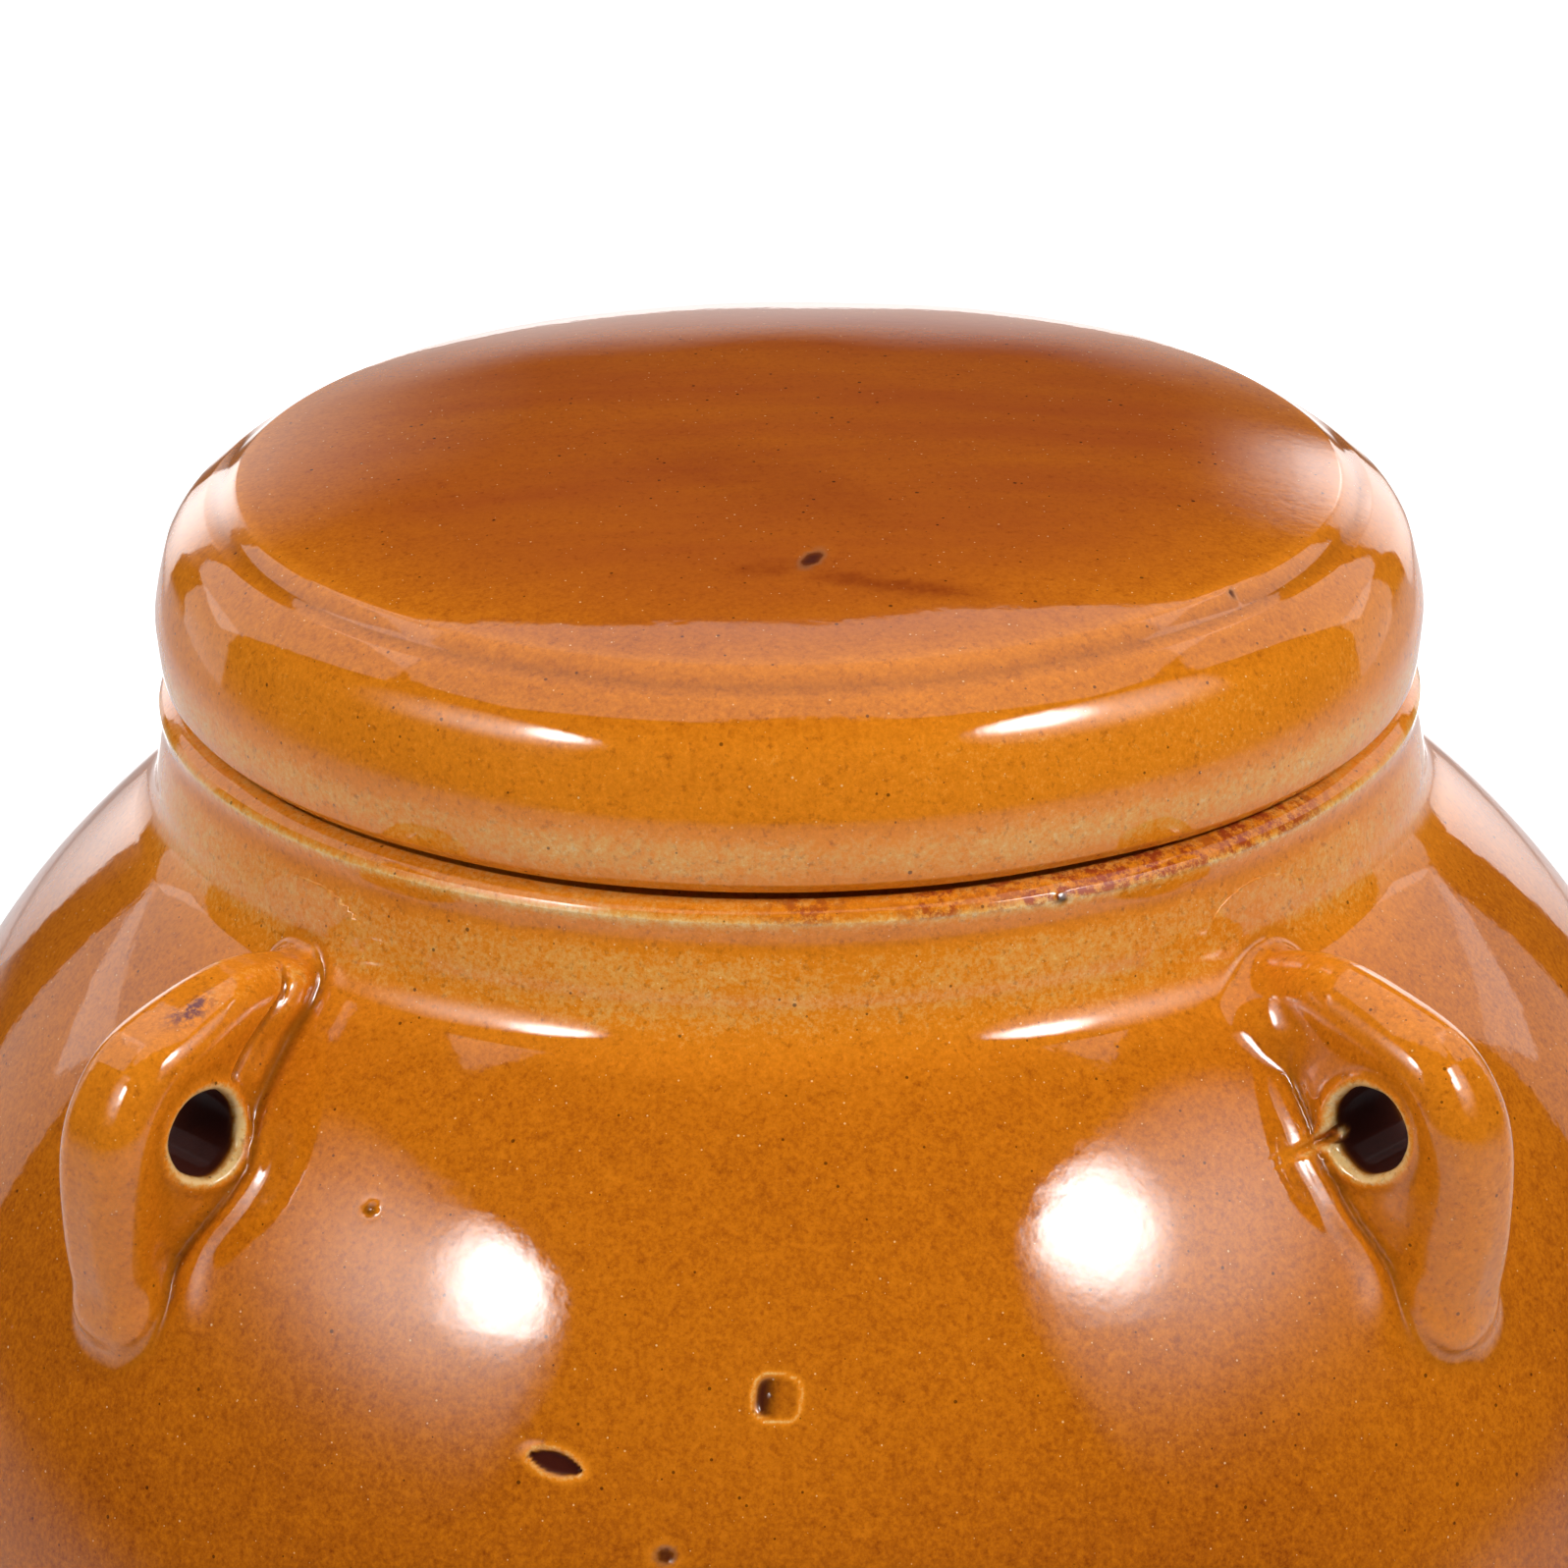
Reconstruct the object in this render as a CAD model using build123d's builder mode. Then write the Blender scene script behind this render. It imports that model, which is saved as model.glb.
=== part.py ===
"""Water seal pickle jar in glazed stoneware, in millimetres.

The lid's skirt stands in a ring-shaped trough round the mouth. Water in the trough lets gas
out of the jar and no air in. The origin is the middle of the foot, +Z is up, and the front,
between two lugs, faces -Y.
"""
import os
from math import cos, radians, sin, sqrt

from build123d import *

# Foot and belly of the thrown vessel
foot_radius = 74.0
foot_band = 4.0
foot_bevel = 1.5
foot_ring_width = 12.0
foot_recess = 2.5
belly_radius = 117.0
belly_height = 105.0
vessel_wall = 7.0
base_wall = 8.0
base_corner = 10.0

# Trough for the seal water, between the mouth and the collar
crease_height = 205.0
trough_depth = 20.0
trough_outer_radius = 69.5
trough_width = 15.0
trough_corner = 1.2
trough_wall = 6.0
seat_drop = 14.5
seat_width = 7.8
collar_foot_width = 4.9
rim_width = 4.2
rim_rise = 2.2
rim_inner_rise = 0.6

# Mouth, the inner wall of the trough
mouth_wall = 6.5
mouth_rise = 6.0
mouth_lip = 2.4

# Outer lid
lid_top_rise = 30.4
crown_inset = 9.2
crown_sag = 5.1
crown_edge_round = 2.2
crown_step = 3.9
crown_step_run = 1.9
step_round = 2.4
shoulder_flat = 1.7
lid_overhang = 3.5
lid_shoulder_drop = 5.4
lid_side_height = 8.6
lid_wall = 6.5
lid_underside_sag = 7.6
lid_inner_round = 6.0
lid_ledge_height = 4.5
skirt_gap = 1.5
skirt_wall = 5.7
skirt_edge_round = 2.0

# Inner lid and its knob
inner_lid_overhang = 4.5
inner_lid_edge = 4.0
inner_lid_crown = 6.0
inner_lid_edge_round = 1.6
spigot_gap = 1.5
spigot_wall = 5.5
spigot_depth = 7.0
knob_seat_radius = 9.0
knob_waist_radius = 6.6
knob_waist_height = 3.2
knob_head_radius = 10.4
knob_head_height = 6.2
knob_height = 8.5

# Lugs: an ear in an upright plane through the jar's axis
lug_angle = 44.0
lug_top_drop = 11.0
lug_foot_drop = 50.5
lug_reach = 19.6
lug_thickness = 12.0
lug_ridge_round = 4.5
lug_hole_radius = 4.7
lug_hole_drop = 28.0
lug_hole_clearance = 1.0

# How far the lug's outer edge stands from the line between its two tips: along it, out of it
lug_outline_shares = [
    (0.10, 0.42), (0.23, 0.74), (0.37, 0.97), (0.51, 1.0), (0.64, 0.87), (0.79, 0.52), (0.92, 0.16),
]

# Levels and radii that follow from the sizes above
seat_height = crease_height - seat_drop
seat_radius = trough_outer_radius + seat_width
collar_foot_radius = trough_outer_radius + collar_foot_width
crease_radius = trough_outer_radius + rim_width
trough_floor = crease_height - trough_depth
trough_ceiling = trough_floor - trough_wall
mouth_outer_radius = trough_outer_radius - trough_width
mouth_radius = mouth_outer_radius - mouth_wall
mouth_top = crease_height + mouth_rise
lid_top = crease_height + lid_top_rise
lid_radius = trough_outer_radius + lid_overhang
crown_radius = lid_radius - crown_inset
skirt_radius = trough_outer_radius - skirt_gap
skirt_inner_radius = skirt_radius - skirt_wall
tuck_round = lid_radius - skirt_radius
base_top = foot_recess + base_wall


def sweep_radius(inset: float, rise: float) -> float:
    """Radius of an arc that starts upright at the belly and ends inset inwards and rise along."""
    return (inset**2 + rise**2) / (inset + inset)


shoulder_sweep = sweep_radius(belly_radius - seat_radius, seat_height - belly_height)
lower_sweep = sweep_radius(belly_radius - foot_radius, belly_height - foot_band)


def wall_reach(sweep: float, height: float, depth: float = 0) -> float:
    """Radius of the vessel at a height, on the arc of radius sweep, at a depth inside its face."""
    rise = height - belly_height
    return belly_radius - sweep + sqrt((sweep - depth) ** 2 - rise**2)


def arc_point(sweep: float, start: float, end: float, depth: float = 0) -> tuple[float, float]:
    """Point of the vessel's arc halfway in height between two levels."""
    height = (start + end) / 2
    return wall_reach(sweep, height, depth), height


def shoulder_point(height: float, offset: float) -> tuple[float, float]:
    """Point at an offset square to the shoulder, over the place where the shoulder has a height."""
    rise = height - belly_height
    lean = sqrt(shoulder_sweep**2 - rise**2) / shoulder_sweep
    steep = rise / shoulder_sweep
    return wall_reach(shoulder_sweep, height) + offset * lean, height + offset * steep


def corner_at(section: BuildSketch, place: tuple[float, float]) -> Vertex:
    """The corner of a section nearest to a radius and height."""
    return section.vertices().sort_by_distance(place)[0]


def draw_collar_face() -> None:
    """Outside of the collar: a hollow fillet off the shoulder, then the wall up to the crease."""
    lean = (seat_radius - belly_radius + shoulder_sweep) / shoulder_sweep
    rise = (seat_height - belly_height) / shoulder_sweep
    fillet_radius = (seat_radius - collar_foot_radius) / (1 - lean)
    wall_foot = (collar_foot_radius, seat_height + rise * fillet_radius)
    TangentArc((seat_radius, seat_height), wall_foot, tangent=(-rise, lean))
    Line(wall_foot, (crease_radius, crease_height))


# Vessel: foot, belly, shoulder and the floor of the trough
with BuildPart() as jar_body:
    with BuildSketch(Plane.XZ) as body_section:
        with BuildLine():
            foot_ring_radius = foot_radius - foot_ring_width
            Polyline(
                (0, base_top),
                (0, foot_recess),
                (foot_ring_radius, foot_recess),
                (foot_ring_radius + foot_bevel, 0),
                (foot_radius - foot_bevel, 0),
                (foot_radius, foot_bevel),
                (foot_radius, foot_band),
            )
            ThreePointArc(
                (foot_radius, foot_band),
                arc_point(lower_sweep, foot_band, belly_height),
                (belly_radius, belly_height),
            )
            ThreePointArc(
                (belly_radius, belly_height),
                arc_point(shoulder_sweep, belly_height, seat_height),
                (seat_radius, seat_height),
            )
            ceiling_reach = wall_reach(shoulder_sweep, trough_ceiling, vessel_wall)
            Polyline(
                (seat_radius, seat_height),
                (trough_outer_radius, seat_height),
                (trough_outer_radius, trough_floor),
                (mouth_radius, trough_floor),
                (mouth_radius, trough_ceiling),
                (ceiling_reach, trough_ceiling),
            )
            ThreePointArc(
                (ceiling_reach, trough_ceiling),
                arc_point(shoulder_sweep, trough_ceiling, belly_height, vessel_wall),
                (belly_radius - vessel_wall, belly_height),
            )
            base_reach = wall_reach(lower_sweep, base_top, vessel_wall)
            ThreePointArc(
                (belly_radius - vessel_wall, belly_height),
                arc_point(lower_sweep, belly_height, base_top, vessel_wall),
                (base_reach, base_top),
            )
            Line((base_reach, base_top), (0, base_top))
        make_face()
        fillet(corner_at(body_section, (base_reach, base_top)), base_corner)
        fillet(corner_at(body_section, (trough_outer_radius, trough_floor)), trough_corner)
    revolve(axis=Axis.Z)
jar_body.part.label = "jar_body"

# Mouth: a ring that stands on the trough's floor, with a rounded lip that is flat on top
with BuildPart() as mouth_neck:
    with BuildSketch(Plane.XZ) as neck_section:
        with BuildLine():
            Polyline(
                (mouth_radius, trough_floor),
                (mouth_outer_radius, trough_floor),
                (mouth_outer_radius, mouth_top),
                (mouth_radius, mouth_top),
                close=True,
            )
        make_face()
        fillet(neck_section.vertices().group_by(Axis.Y)[-1], mouth_lip)
    revolve(axis=Axis.Z)
mouth_neck.part.label = "mouth_neck"

# Collar: the outer wall of the trough
with BuildPart() as trough_collar:
    with BuildSketch(Plane.XZ):
        with BuildLine():
            draw_collar_face()
            rim_middle = (crease_radius + trough_outer_radius) / 2
            ThreePointArc(
                (crease_radius, crease_height),
                (rim_middle, crease_height + rim_rise),
                (trough_outer_radius, crease_height + rim_inner_rise),
            )
            Polyline(
                (trough_outer_radius, crease_height + rim_inner_rise),
                (trough_outer_radius, seat_height),
                (seat_radius, seat_height),
            )
        make_face()
    revolve(axis=Axis.Z)
trough_collar.part.label = "trough_collar"

# Outer face of the vessel as one solid, from which each lug takes the shape of its back
with BuildPart() as vessel_face:
    with BuildSketch(Plane.XZ):
        with BuildLine():
            Polyline((crease_radius, crease_height), (0, crease_height), (0, belly_height))
            Line((0, belly_height), (belly_radius, belly_height))
            ThreePointArc(
                (belly_radius, belly_height),
                arc_point(shoulder_sweep, belly_height, seat_height),
                (seat_radius, seat_height),
            )
            draw_collar_face()
        make_face()
    revolve(axis=Axis.Z)


def lug_plane(azimuth: float) -> Plane:
    """Upright plane through the jar's axis, turned from the front towards the right."""
    turn = radians(azimuth)
    return Plane(origin=(0, 0, 0), x_dir=(sin(turn), -cos(turn), 0), z_dir=(-cos(turn), -sin(turn), 0))


def lug_outline() -> list[Vector]:
    """Points of the lug's outer edge, from its top tip to its foot, as radius and height."""
    top = Vector(collar_foot_radius, crease_height - lug_top_drop)
    foot_height = crease_height - lug_foot_drop
    foot = Vector(wall_reach(shoulder_sweep, foot_height), foot_height)
    along = foot - top
    out = Vector(-along.Y, along.X).normalized() * lug_reach
    edge = [top + along * run + out * reach for run, reach in lug_outline_shares]
    return [top, *edge, foot]


def build_lug(name: str, azimuth: float) -> Part:
    """An ear of clay on the shoulder, with a rounded ridge and a hole across it."""
    plane = lug_plane(azimuth)
    edge = lug_outline()
    hole_rise = lug_hole_radius + lug_hole_clearance
    hole_centre = shoulder_point(crease_height - lug_hole_drop, hole_rise)
    with BuildPart() as lug:
        with BuildSketch(plane):
            with BuildLine():
                Spline(*edge)
                Line(edge[-1], edge[0])
            make_face()
        extrude(amount=lug_thickness / 2, both=True)
        fillet(lug.edges().filter_by(GeomType.BSPLINE), lug_ridge_round)
        with BuildSketch(plane):
            with Locations(hole_centre):
                Circle(lug_hole_radius)
        extrude(amount=lug_thickness, both=True, mode=Mode.SUBTRACT)
        add(vessel_face.part, mode=Mode.SUBTRACT)
    lug.part.label = name
    return lug.part


lugs = [
    build_lug("lug_front_right", lug_angle),
    build_lug("lug_front_left", -lug_angle),
    build_lug("lug_rear_right", 180 - lug_angle),
    build_lug("lug_rear_left", 180 + lug_angle),
]

# Outer lid: raised crown, rolled shoulder, upright side, and a skirt down to the trough's floor
with BuildPart() as outer_lid:
    with BuildSketch(Plane.XZ) as lid_section:
        crown_edge = (crown_radius, lid_top - crown_sag)
        step_foot = (crown_radius + crown_step_run, crown_edge[1] - crown_step)
        roll_start = (step_foot[0] + shoulder_flat, step_foot[1])
        side_top = (lid_radius, step_foot[1] - lid_shoulder_drop)
        side_foot = (lid_radius, side_top[1] - lid_side_height)
        tuck_end = (skirt_radius, side_foot[1] - tuck_round)
        inner_radius = lid_radius - lid_wall
        underside = lid_top - lid_wall
        inner_corner = (inner_radius, underside - lid_underside_sag)
        ledge = (skirt_inner_radius, tuck_end[1] + skirt_wall / 2)
        with BuildLine():
            TangentArc((0, lid_top), crown_edge, tangent=(1, 0))
            Polyline(crown_edge, step_foot, roll_start)
            TangentArc(side_top, roll_start, tangent=(0, 1))
            Line(side_top, side_foot)
            TangentArc(side_foot, tuck_end, tangent=(0, -1))
            Polyline(
                tuck_end,
                (skirt_radius, trough_floor),
                (skirt_inner_radius, trough_floor),
                ledge,
                (inner_radius, ledge[1] + lid_ledge_height),
                inner_corner,
            )
            TangentArc((0, underside), inner_corner, tangent=(1, 0))
            Line((0, underside), (0, lid_top))
        make_face()
        fillet(corner_at(lid_section, crown_edge), crown_edge_round)
        fillet(corner_at(lid_section, step_foot), step_round)
        fillet(corner_at(lid_section, inner_corner), lid_inner_round)
        fillet(lid_section.vertices().group_by(Axis.Y)[0], skirt_edge_round)
    revolve(axis=Axis.Z)
outer_lid.part.label = "outer_lid"

# Inner lid: a plate that lies on the mouth's lip, with a ring under it that keeps it central
with BuildPart() as inner_lid:
    with BuildSketch(Plane.XZ) as plate_section:
        plate_radius = mouth_radius + inner_lid_overhang
        spigot_radius = mouth_radius - spigot_gap
        plate_top = mouth_top + inner_lid_crown
        plate_edge = (plate_radius, mouth_top + inner_lid_edge)
        with BuildLine():
            Line((0, plate_top), (knob_seat_radius, plate_top))
            TangentArc((knob_seat_radius, plate_top), plate_edge, tangent=(1, 0))
            Polyline(
                plate_edge,
                (plate_radius, mouth_top),
                (spigot_radius, mouth_top),
                (spigot_radius, mouth_top - spigot_depth),
                (spigot_radius - spigot_wall, mouth_top - spigot_depth),
                (spigot_radius - spigot_wall, mouth_top),
                (0, mouth_top),
                (0, plate_top),
            )
        make_face()
        fillet(corner_at(plate_section, plate_edge), inner_lid_edge_round)
    revolve(axis=Axis.Z)
inner_lid.part.label = "inner_lid"

# Knob: a waist and a rounded head, thrown in one piece
with BuildPart() as inner_lid_knob:
    with BuildSketch(Plane.XZ):
        with BuildLine():
            foot = (knob_seat_radius, plate_top)
            waist = (knob_waist_radius, plate_top + knob_waist_height)
            head = (knob_head_radius, plate_top + knob_head_height)
            crown = (0, plate_top + knob_height)
            TangentArc(waist, foot, tangent=(0, -1))
            Spline(waist, head, crown, tangents=[(0, 1), (-1, 0)])
            Polyline(crown, (0, plate_top), foot)
        make_face()
    revolve(axis=Axis.Z)
inner_lid_knob.part.label = "inner_lid_knob"

os.makedirs("parts", exist_ok=True)
thrown = [jar_body, mouth_neck, trough_collar, outer_lid, inner_lid, inner_lid_knob]
for piece in [builder.part for builder in thrown] + lugs:
    export_step(piece, f"parts/{piece.label}.step")
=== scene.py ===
"""Looks of the water seal pickle jar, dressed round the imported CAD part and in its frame.

The jar is thrown stoneware under a glossy, transparent amber glaze. Each thrown piece is turned
from a profile and then made as uneven as hand and fire leave it, and each lug is a lump of clay
worked into the shoulder. Sizes are in millimetres up to the step that makes a mesh in metres.
"""
import logging
import sys
from collections.abc import Sequence
from dataclasses import dataclass, field
from enum import Enum
from math import cos, degrees, pi, radians, sin, sqrt

import bpy
import numpy as np
from mathutils import Matrix, Quaternion, Vector


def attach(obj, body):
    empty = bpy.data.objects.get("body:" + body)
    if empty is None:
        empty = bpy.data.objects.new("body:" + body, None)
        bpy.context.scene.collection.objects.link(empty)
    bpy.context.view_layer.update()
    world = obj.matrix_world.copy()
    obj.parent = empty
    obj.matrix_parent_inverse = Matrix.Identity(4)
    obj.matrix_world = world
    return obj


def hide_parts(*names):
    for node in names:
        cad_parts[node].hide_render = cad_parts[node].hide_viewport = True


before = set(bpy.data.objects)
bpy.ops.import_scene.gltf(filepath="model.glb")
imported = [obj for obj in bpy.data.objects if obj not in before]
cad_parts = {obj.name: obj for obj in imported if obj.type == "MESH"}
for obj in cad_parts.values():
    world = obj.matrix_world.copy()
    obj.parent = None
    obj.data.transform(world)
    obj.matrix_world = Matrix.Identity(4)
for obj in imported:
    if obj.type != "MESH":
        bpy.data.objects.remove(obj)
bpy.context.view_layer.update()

log = logging.getLogger("pickle_jar")

Table = tuple[tuple[float, float], ...]
Stretches = Sequence[tuple[float, float, float]]
Sockets = dict[str, bpy.types.NodeSocket]

MM = 0.001

# Sizes of the thrown vessel, as the CAD part has them
FOOT_RADIUS, FOOT_BAND, FOOT_BEVEL, FOOT_RING, FOOT_RECESS = 74.0, 4.0, 1.5, 12.0, 2.5
BELLY_RADIUS, BELLY_HEIGHT, WALL, BASE_TOP, BASE_CORNER = 117.0, 105.0, 7.0, 10.5, 10.0
SEAT_RADIUS, SEAT_HEIGHT = 77.3, 190.5
CREASE_RADIUS, CREASE_HEIGHT = 73.7, 205.0
COLLAR_FOOT_RADIUS = 74.4
TROUGH_RADIUS, TROUGH_FLOOR, TROUGH_CEILING = 69.5, 185.0, 179.0
RIM_TOP = 207.2
MOUTH_RADIUS, MOUTH_OUTER, MOUTH_TOP = 48.0, 54.5, 211.0


def arc_radius(inset: float, rise: float) -> float:
    """Radius of an arc that starts upright and ends inset inwards and rise along."""
    return (inset**2 + rise**2) / (2 * inset)


SHOULDER_SWEEP = arc_radius(BELLY_RADIUS - SEAT_RADIUS, SEAT_HEIGHT - BELLY_HEIGHT)
LOWER_SWEEP = arc_radius(BELLY_RADIUS - FOOT_RADIUS, BELLY_HEIGHT - FOOT_BAND)
SHOULDER_MIDDLE = BELLY_RADIUS - SHOULDER_SWEEP
LOWER_MIDDLE = BELLY_RADIUS - LOWER_SWEEP
SEAT_LEAN = (SEAT_RADIUS - SHOULDER_MIDDLE) / SHOULDER_SWEEP
SEAT_STEEP = (SEAT_HEIGHT - BELLY_HEIGHT) / SHOULDER_SWEEP
FILLET = (SEAT_RADIUS - COLLAR_FOOT_RADIUS) / (1 - SEAT_LEAN)
FILLET_MIDDLE = (SEAT_RADIUS + FILLET * SEAT_LEAN, SEAT_HEIGHT + FILLET * SEAT_STEEP)


def reach_at(middle: float, sweep: float, height: float) -> float:
    """Radius from the axis at a height on an arc of the belly."""
    return middle + sqrt(sweep**2 - (height - BELLY_HEIGHT) ** 2)


def smooth(start: float, end: float, value: np.ndarray) -> np.ndarray:
    """Share from 0 at start to 1 at end, level at both."""
    share = np.clip((value - start) / (end - start), 0.0, 1.0)
    return share * share * (3 - 2 * share)


def bell(value: np.ndarray, width: float) -> np.ndarray:
    """Bell curve of height 1 round zero."""
    return np.exp(-((value / width) ** 2))


def blend_low(a: np.ndarray, b: np.ndarray, reach: np.ndarray | float) -> np.ndarray:
    """The lower of two distances, with a round of that reach where they meet."""
    share = np.maximum(reach - np.abs(a - b), 0.0) / reach
    return np.minimum(a, b) - share * share * reach / 4


@dataclass(frozen=True)
class Waves:
    """A gentle unevenness: a few long waves in set directions."""

    length: float
    height: float
    seed: int
    count: int = 9

    def at(self, points: np.ndarray) -> np.ndarray:
        """Height of the unevenness.

        Args:
            points: places in millimetres, one a row.

        Returns:
            One height in millimetres for each place.
        """
        draw = np.random.default_rng(self.seed)
        ways = draw.normal(size=(self.count, 3))
        pace = 2 * pi / self.length * draw.uniform(0.7, 1.35, self.count)
        ways *= (pace / np.linalg.norm(ways, axis=1))[:, None]
        phases = draw.uniform(0, 2 * pi, self.count)
        total = np.zeros(points.shape[:-1])
        for way, phase in zip(ways, phases):
            total += np.sin(points @ way + phase)
        return total * self.height * sqrt(2 / self.count)


class Mark(Enum):
    """Kinds of blemish in the clay or the glaze."""

    PIT = "burst bubble with a knob in it"
    GASH = "eye-shaped tear"
    BUMP = "grit under the glaze"
    SMEAR = "brown streak, with no depth"


@dataclass(frozen=True)
class Blemish:
    """One blemish, placed on a turned surface by its radius, azimuth and height.

    Azimuth, the lean of the surface there and the turn in it are in degrees. Long and wide are
    half sizes. Depth is how far a pit or gash goes in, or how far a bump stands out.
    """

    kind: Mark
    reach: float
    azimuth: float
    height: float
    lean: float
    long: float
    wide: float
    depth: float
    turn: float = 0.0
    tint: float = 1.0

    def plane(self, points: np.ndarray) -> tuple[np.ndarray, np.ndarray, np.ndarray]:
        """Places along, across and off the blemish.

        Args:
            points: places in millimetres, one a row.

        Returns:
            Distance along its long way, across it, and off its plane.
        """
        a, b, t = radians(self.azimuth), radians(self.lean), radians(self.turn)
        out = np.array([sin(a) * cos(b), -cos(a) * cos(b), sin(b)])
        side = np.array([cos(a), sin(a), 0.0])
        up = np.array([-sin(a) * sin(b), cos(a) * sin(b), cos(b)])
        middle = np.array([self.reach * sin(a), -self.reach * cos(a), self.height])
        off = points - middle
        along, across = off @ side, off @ up
        return along * cos(t) + across * sin(t), across * cos(t) - along * sin(t), off @ out

    def at(self, points: np.ndarray) -> tuple[np.ndarray, ...]:
        """What the blemish does to the surface.

        Args:
            points: places in millimetres, one a row.

        Returns:
            Lift in millimetres, then from 0 to 1 how thin the glaze lies, how brown it is, how
            bare the clay is, and how much it is smeared.
        """
        u, v, off = self.plane(points)
        near = (np.abs(off) < self.long + 4).astype(float)
        u, v = u / self.long, v / self.wide
        lift = thin = brown = bare = smear = np.zeros_like(u)
        if self.kind is Mark.GASH:
            lens = np.abs(v) / np.maximum(1 - u * u, 0.02) + smooth(0.9, 1.1, np.abs(u)) * 3
            inside = 1 - smooth(0.62, 1.12, lens)
            halo = (1 - smooth(0.8, 1.25, np.hypot(u / 1.15, v / 1.45))) * (1 - inside)
            lift, thin = 0.06 * halo - self.depth * inside, 0.75 * halo
            brown, bare = 0.93 * inside, 0.9 * smooth(0.2, 0.8, inside)
        elif self.kind is Mark.PIT:
            square = (np.abs(u) ** 3.2 + np.abs(v) ** 3.2) ** (1 / 3.2)
            inside = 1 - smooth(0.70, 1.02, square)
            deep = self.depth * (0.50 - 0.50 * u)
            knob = 0.32 * self.depth * bell(np.hypot(u + 0.15, v - 0.05), 0.24)
            halo = bell(square - 1.06, 0.11)
            lift, thin = 0.09 * self.depth * halo - inside * deep + knob, 0.85 * halo
            # Brown through the pit, darker and bare on its left side: that side is painted shade, the shadow
            # under its undercut wall
            brown, bare = inside * np.clip(0.36 - 1.1 * u, 0.16, 1), inside * np.clip(-0.25 - 1.4 * u, 0, 1)
        else:
            far = np.hypot(u, v)
            mound = 1 - smooth(0.25, 1.0, far)
            if self.kind is Mark.SMEAR:
                smear = mound * self.tint
            else:
                ring = bell(far - 1.15, 0.3)
                lift, thin = self.depth * (mound - 0.12 * ring), 0.25 * ring
                brown = mound * self.tint
                bare = 0.85 * brown if self.depth < 0 else bare
        return tuple(near * mark for mark in (lift, thin, brown, bare, smear))


def corner_round(before: np.ndarray, corner: np.ndarray, after: np.ndarray, radius: float) -> np.ndarray:
    """Points of the arc that replaces a corner of a profile.

    Args:
        before: the profile's point before the corner.
        corner: the corner itself.
        after: the point after it.
        radius: radius of the round in millimetres.

    Returns:
        Points of the arc, one a row.
    """
    a, b = before - corner, after - corner
    la, lb = np.linalg.norm(a), np.linalg.norm(b)
    a, b = a / la, b / lb
    half = np.arccos(np.clip(a @ b, -1, 1)) / 2
    reach = min(radius / np.tan(half), 0.49 * la, 0.49 * lb)
    radius = reach * np.tan(half)
    middle = corner + (a + b) / np.linalg.norm(a + b) * radius / np.sin(half)
    start, end = corner + a * reach - middle, corner + b * reach - middle
    sweep = np.arctan2(start[0] * end[1] - start[1] * end[0], start @ end)
    turns = np.linspace(0, sweep, max(3, int(abs(sweep) / 0.06)))
    c, s = np.cos(turns), np.sin(turns)
    return middle + np.stack([c * start[0] - s * start[1], s * start[0] + c * start[1]], 1)


def rounded(corners: list[tuple[float, ...]]) -> np.ndarray:
    """A profile with its corners rounded.

    Args:
        corners: radius, height and, where the corner is rounded, the radius of the round.

    Returns:
        Points of the profile, one a row.
    """
    flat = np.array([c[:2] for c in corners], float)
    rows = []
    for i, corner in enumerate(corners):
        if len(corner) > 2 and 0 < i < len(corners) - 1:
            rows.append(corner_round(flat[i - 1], flat[i], flat[i + 1], corner[2]))
        else:
            rows.append(flat[i : i + 1])
    return np.concatenate(rows)


def arc(
    middle: tuple[float, float], radius: float, start: float, end: float, count: int = 60,
) -> list[tuple[float, float]]:
    """Points of an arc.

    Args:
        middle: radius and height of its middle.
        radius: its own radius.
        start: angle in degrees at which it starts.
        end: angle at which it ends.
        count: how many points.

    Returns:
        The points, in order.
    """
    return [
        (middle[0] + radius * cos(radians(a)), middle[1] + radius * sin(radians(a)))
        for a in np.linspace(start, end, count)
    ]


def angle_at(middle: tuple[float, float], place: tuple[float, float]) -> float:
    """Angle in degrees of a place seen from a middle."""
    return degrees(np.arctan2(place[1] - middle[1], place[0] - middle[0]))


def thinned(profile: np.ndarray, widest: float, fine: Stretches = ()) -> np.ndarray:
    """A profile with points only where it turns, and never far apart.

    Args:
        profile: points, one a row.
        widest: greatest distance between points, in millimetres.
        fine: stretches as lowest height, highest height and greatest distance there.

    Returns:
        The points that are kept.
    """
    dense = [profile[:1]]
    for a, b in zip(profile[:-1], profile[1:]):
        steps = max(1, int(np.ceil(np.hypot(*(b - a)) / 0.12)))
        dense.append(a + (b - a) * np.linspace(0, 1, steps + 1)[1:, None])
    dense = np.concatenate(dense)
    kept, run, bend = [0], 0.0, 0.0
    for i in range(1, len(dense) - 1):
        step, nxt = dense[i] - dense[i - 1], dense[i + 1] - dense[i]
        run += np.hypot(*step)
        bend += abs(np.arctan2(step[0] * nxt[1] - step[1] * nxt[0], step @ nxt))
        limit = widest
        for low, high, gap in fine:
            if low <= dense[i][1] <= high:
                limit = min(limit, gap)
        if run >= limit or bend > 0.13:
            kept.append(i)
            run, bend = 0.0, 0.0
    return dense[kept + [len(dense) - 1]]


def azimuths(widest: float, fine: Stretches = ()) -> np.ndarray:
    """Azimuths of a turned skin's columns in degrees, closer where there is more to show.

    Args:
        widest: greatest step.
        fine: stretches as start, end and greatest step there.

    Returns:
        Azimuths from -180 up to, and not with, 180.
    """
    places, now = [], -180.0
    while now < 180.0 - 0.4 * widest:
        places.append(now)
        step = widest
        for start, end, gap in fine:
            away = max(start - now, now - end, 0.0)
            step = min(step, gap + away * 0.35)
        now += step
    return np.array(places)


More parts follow.
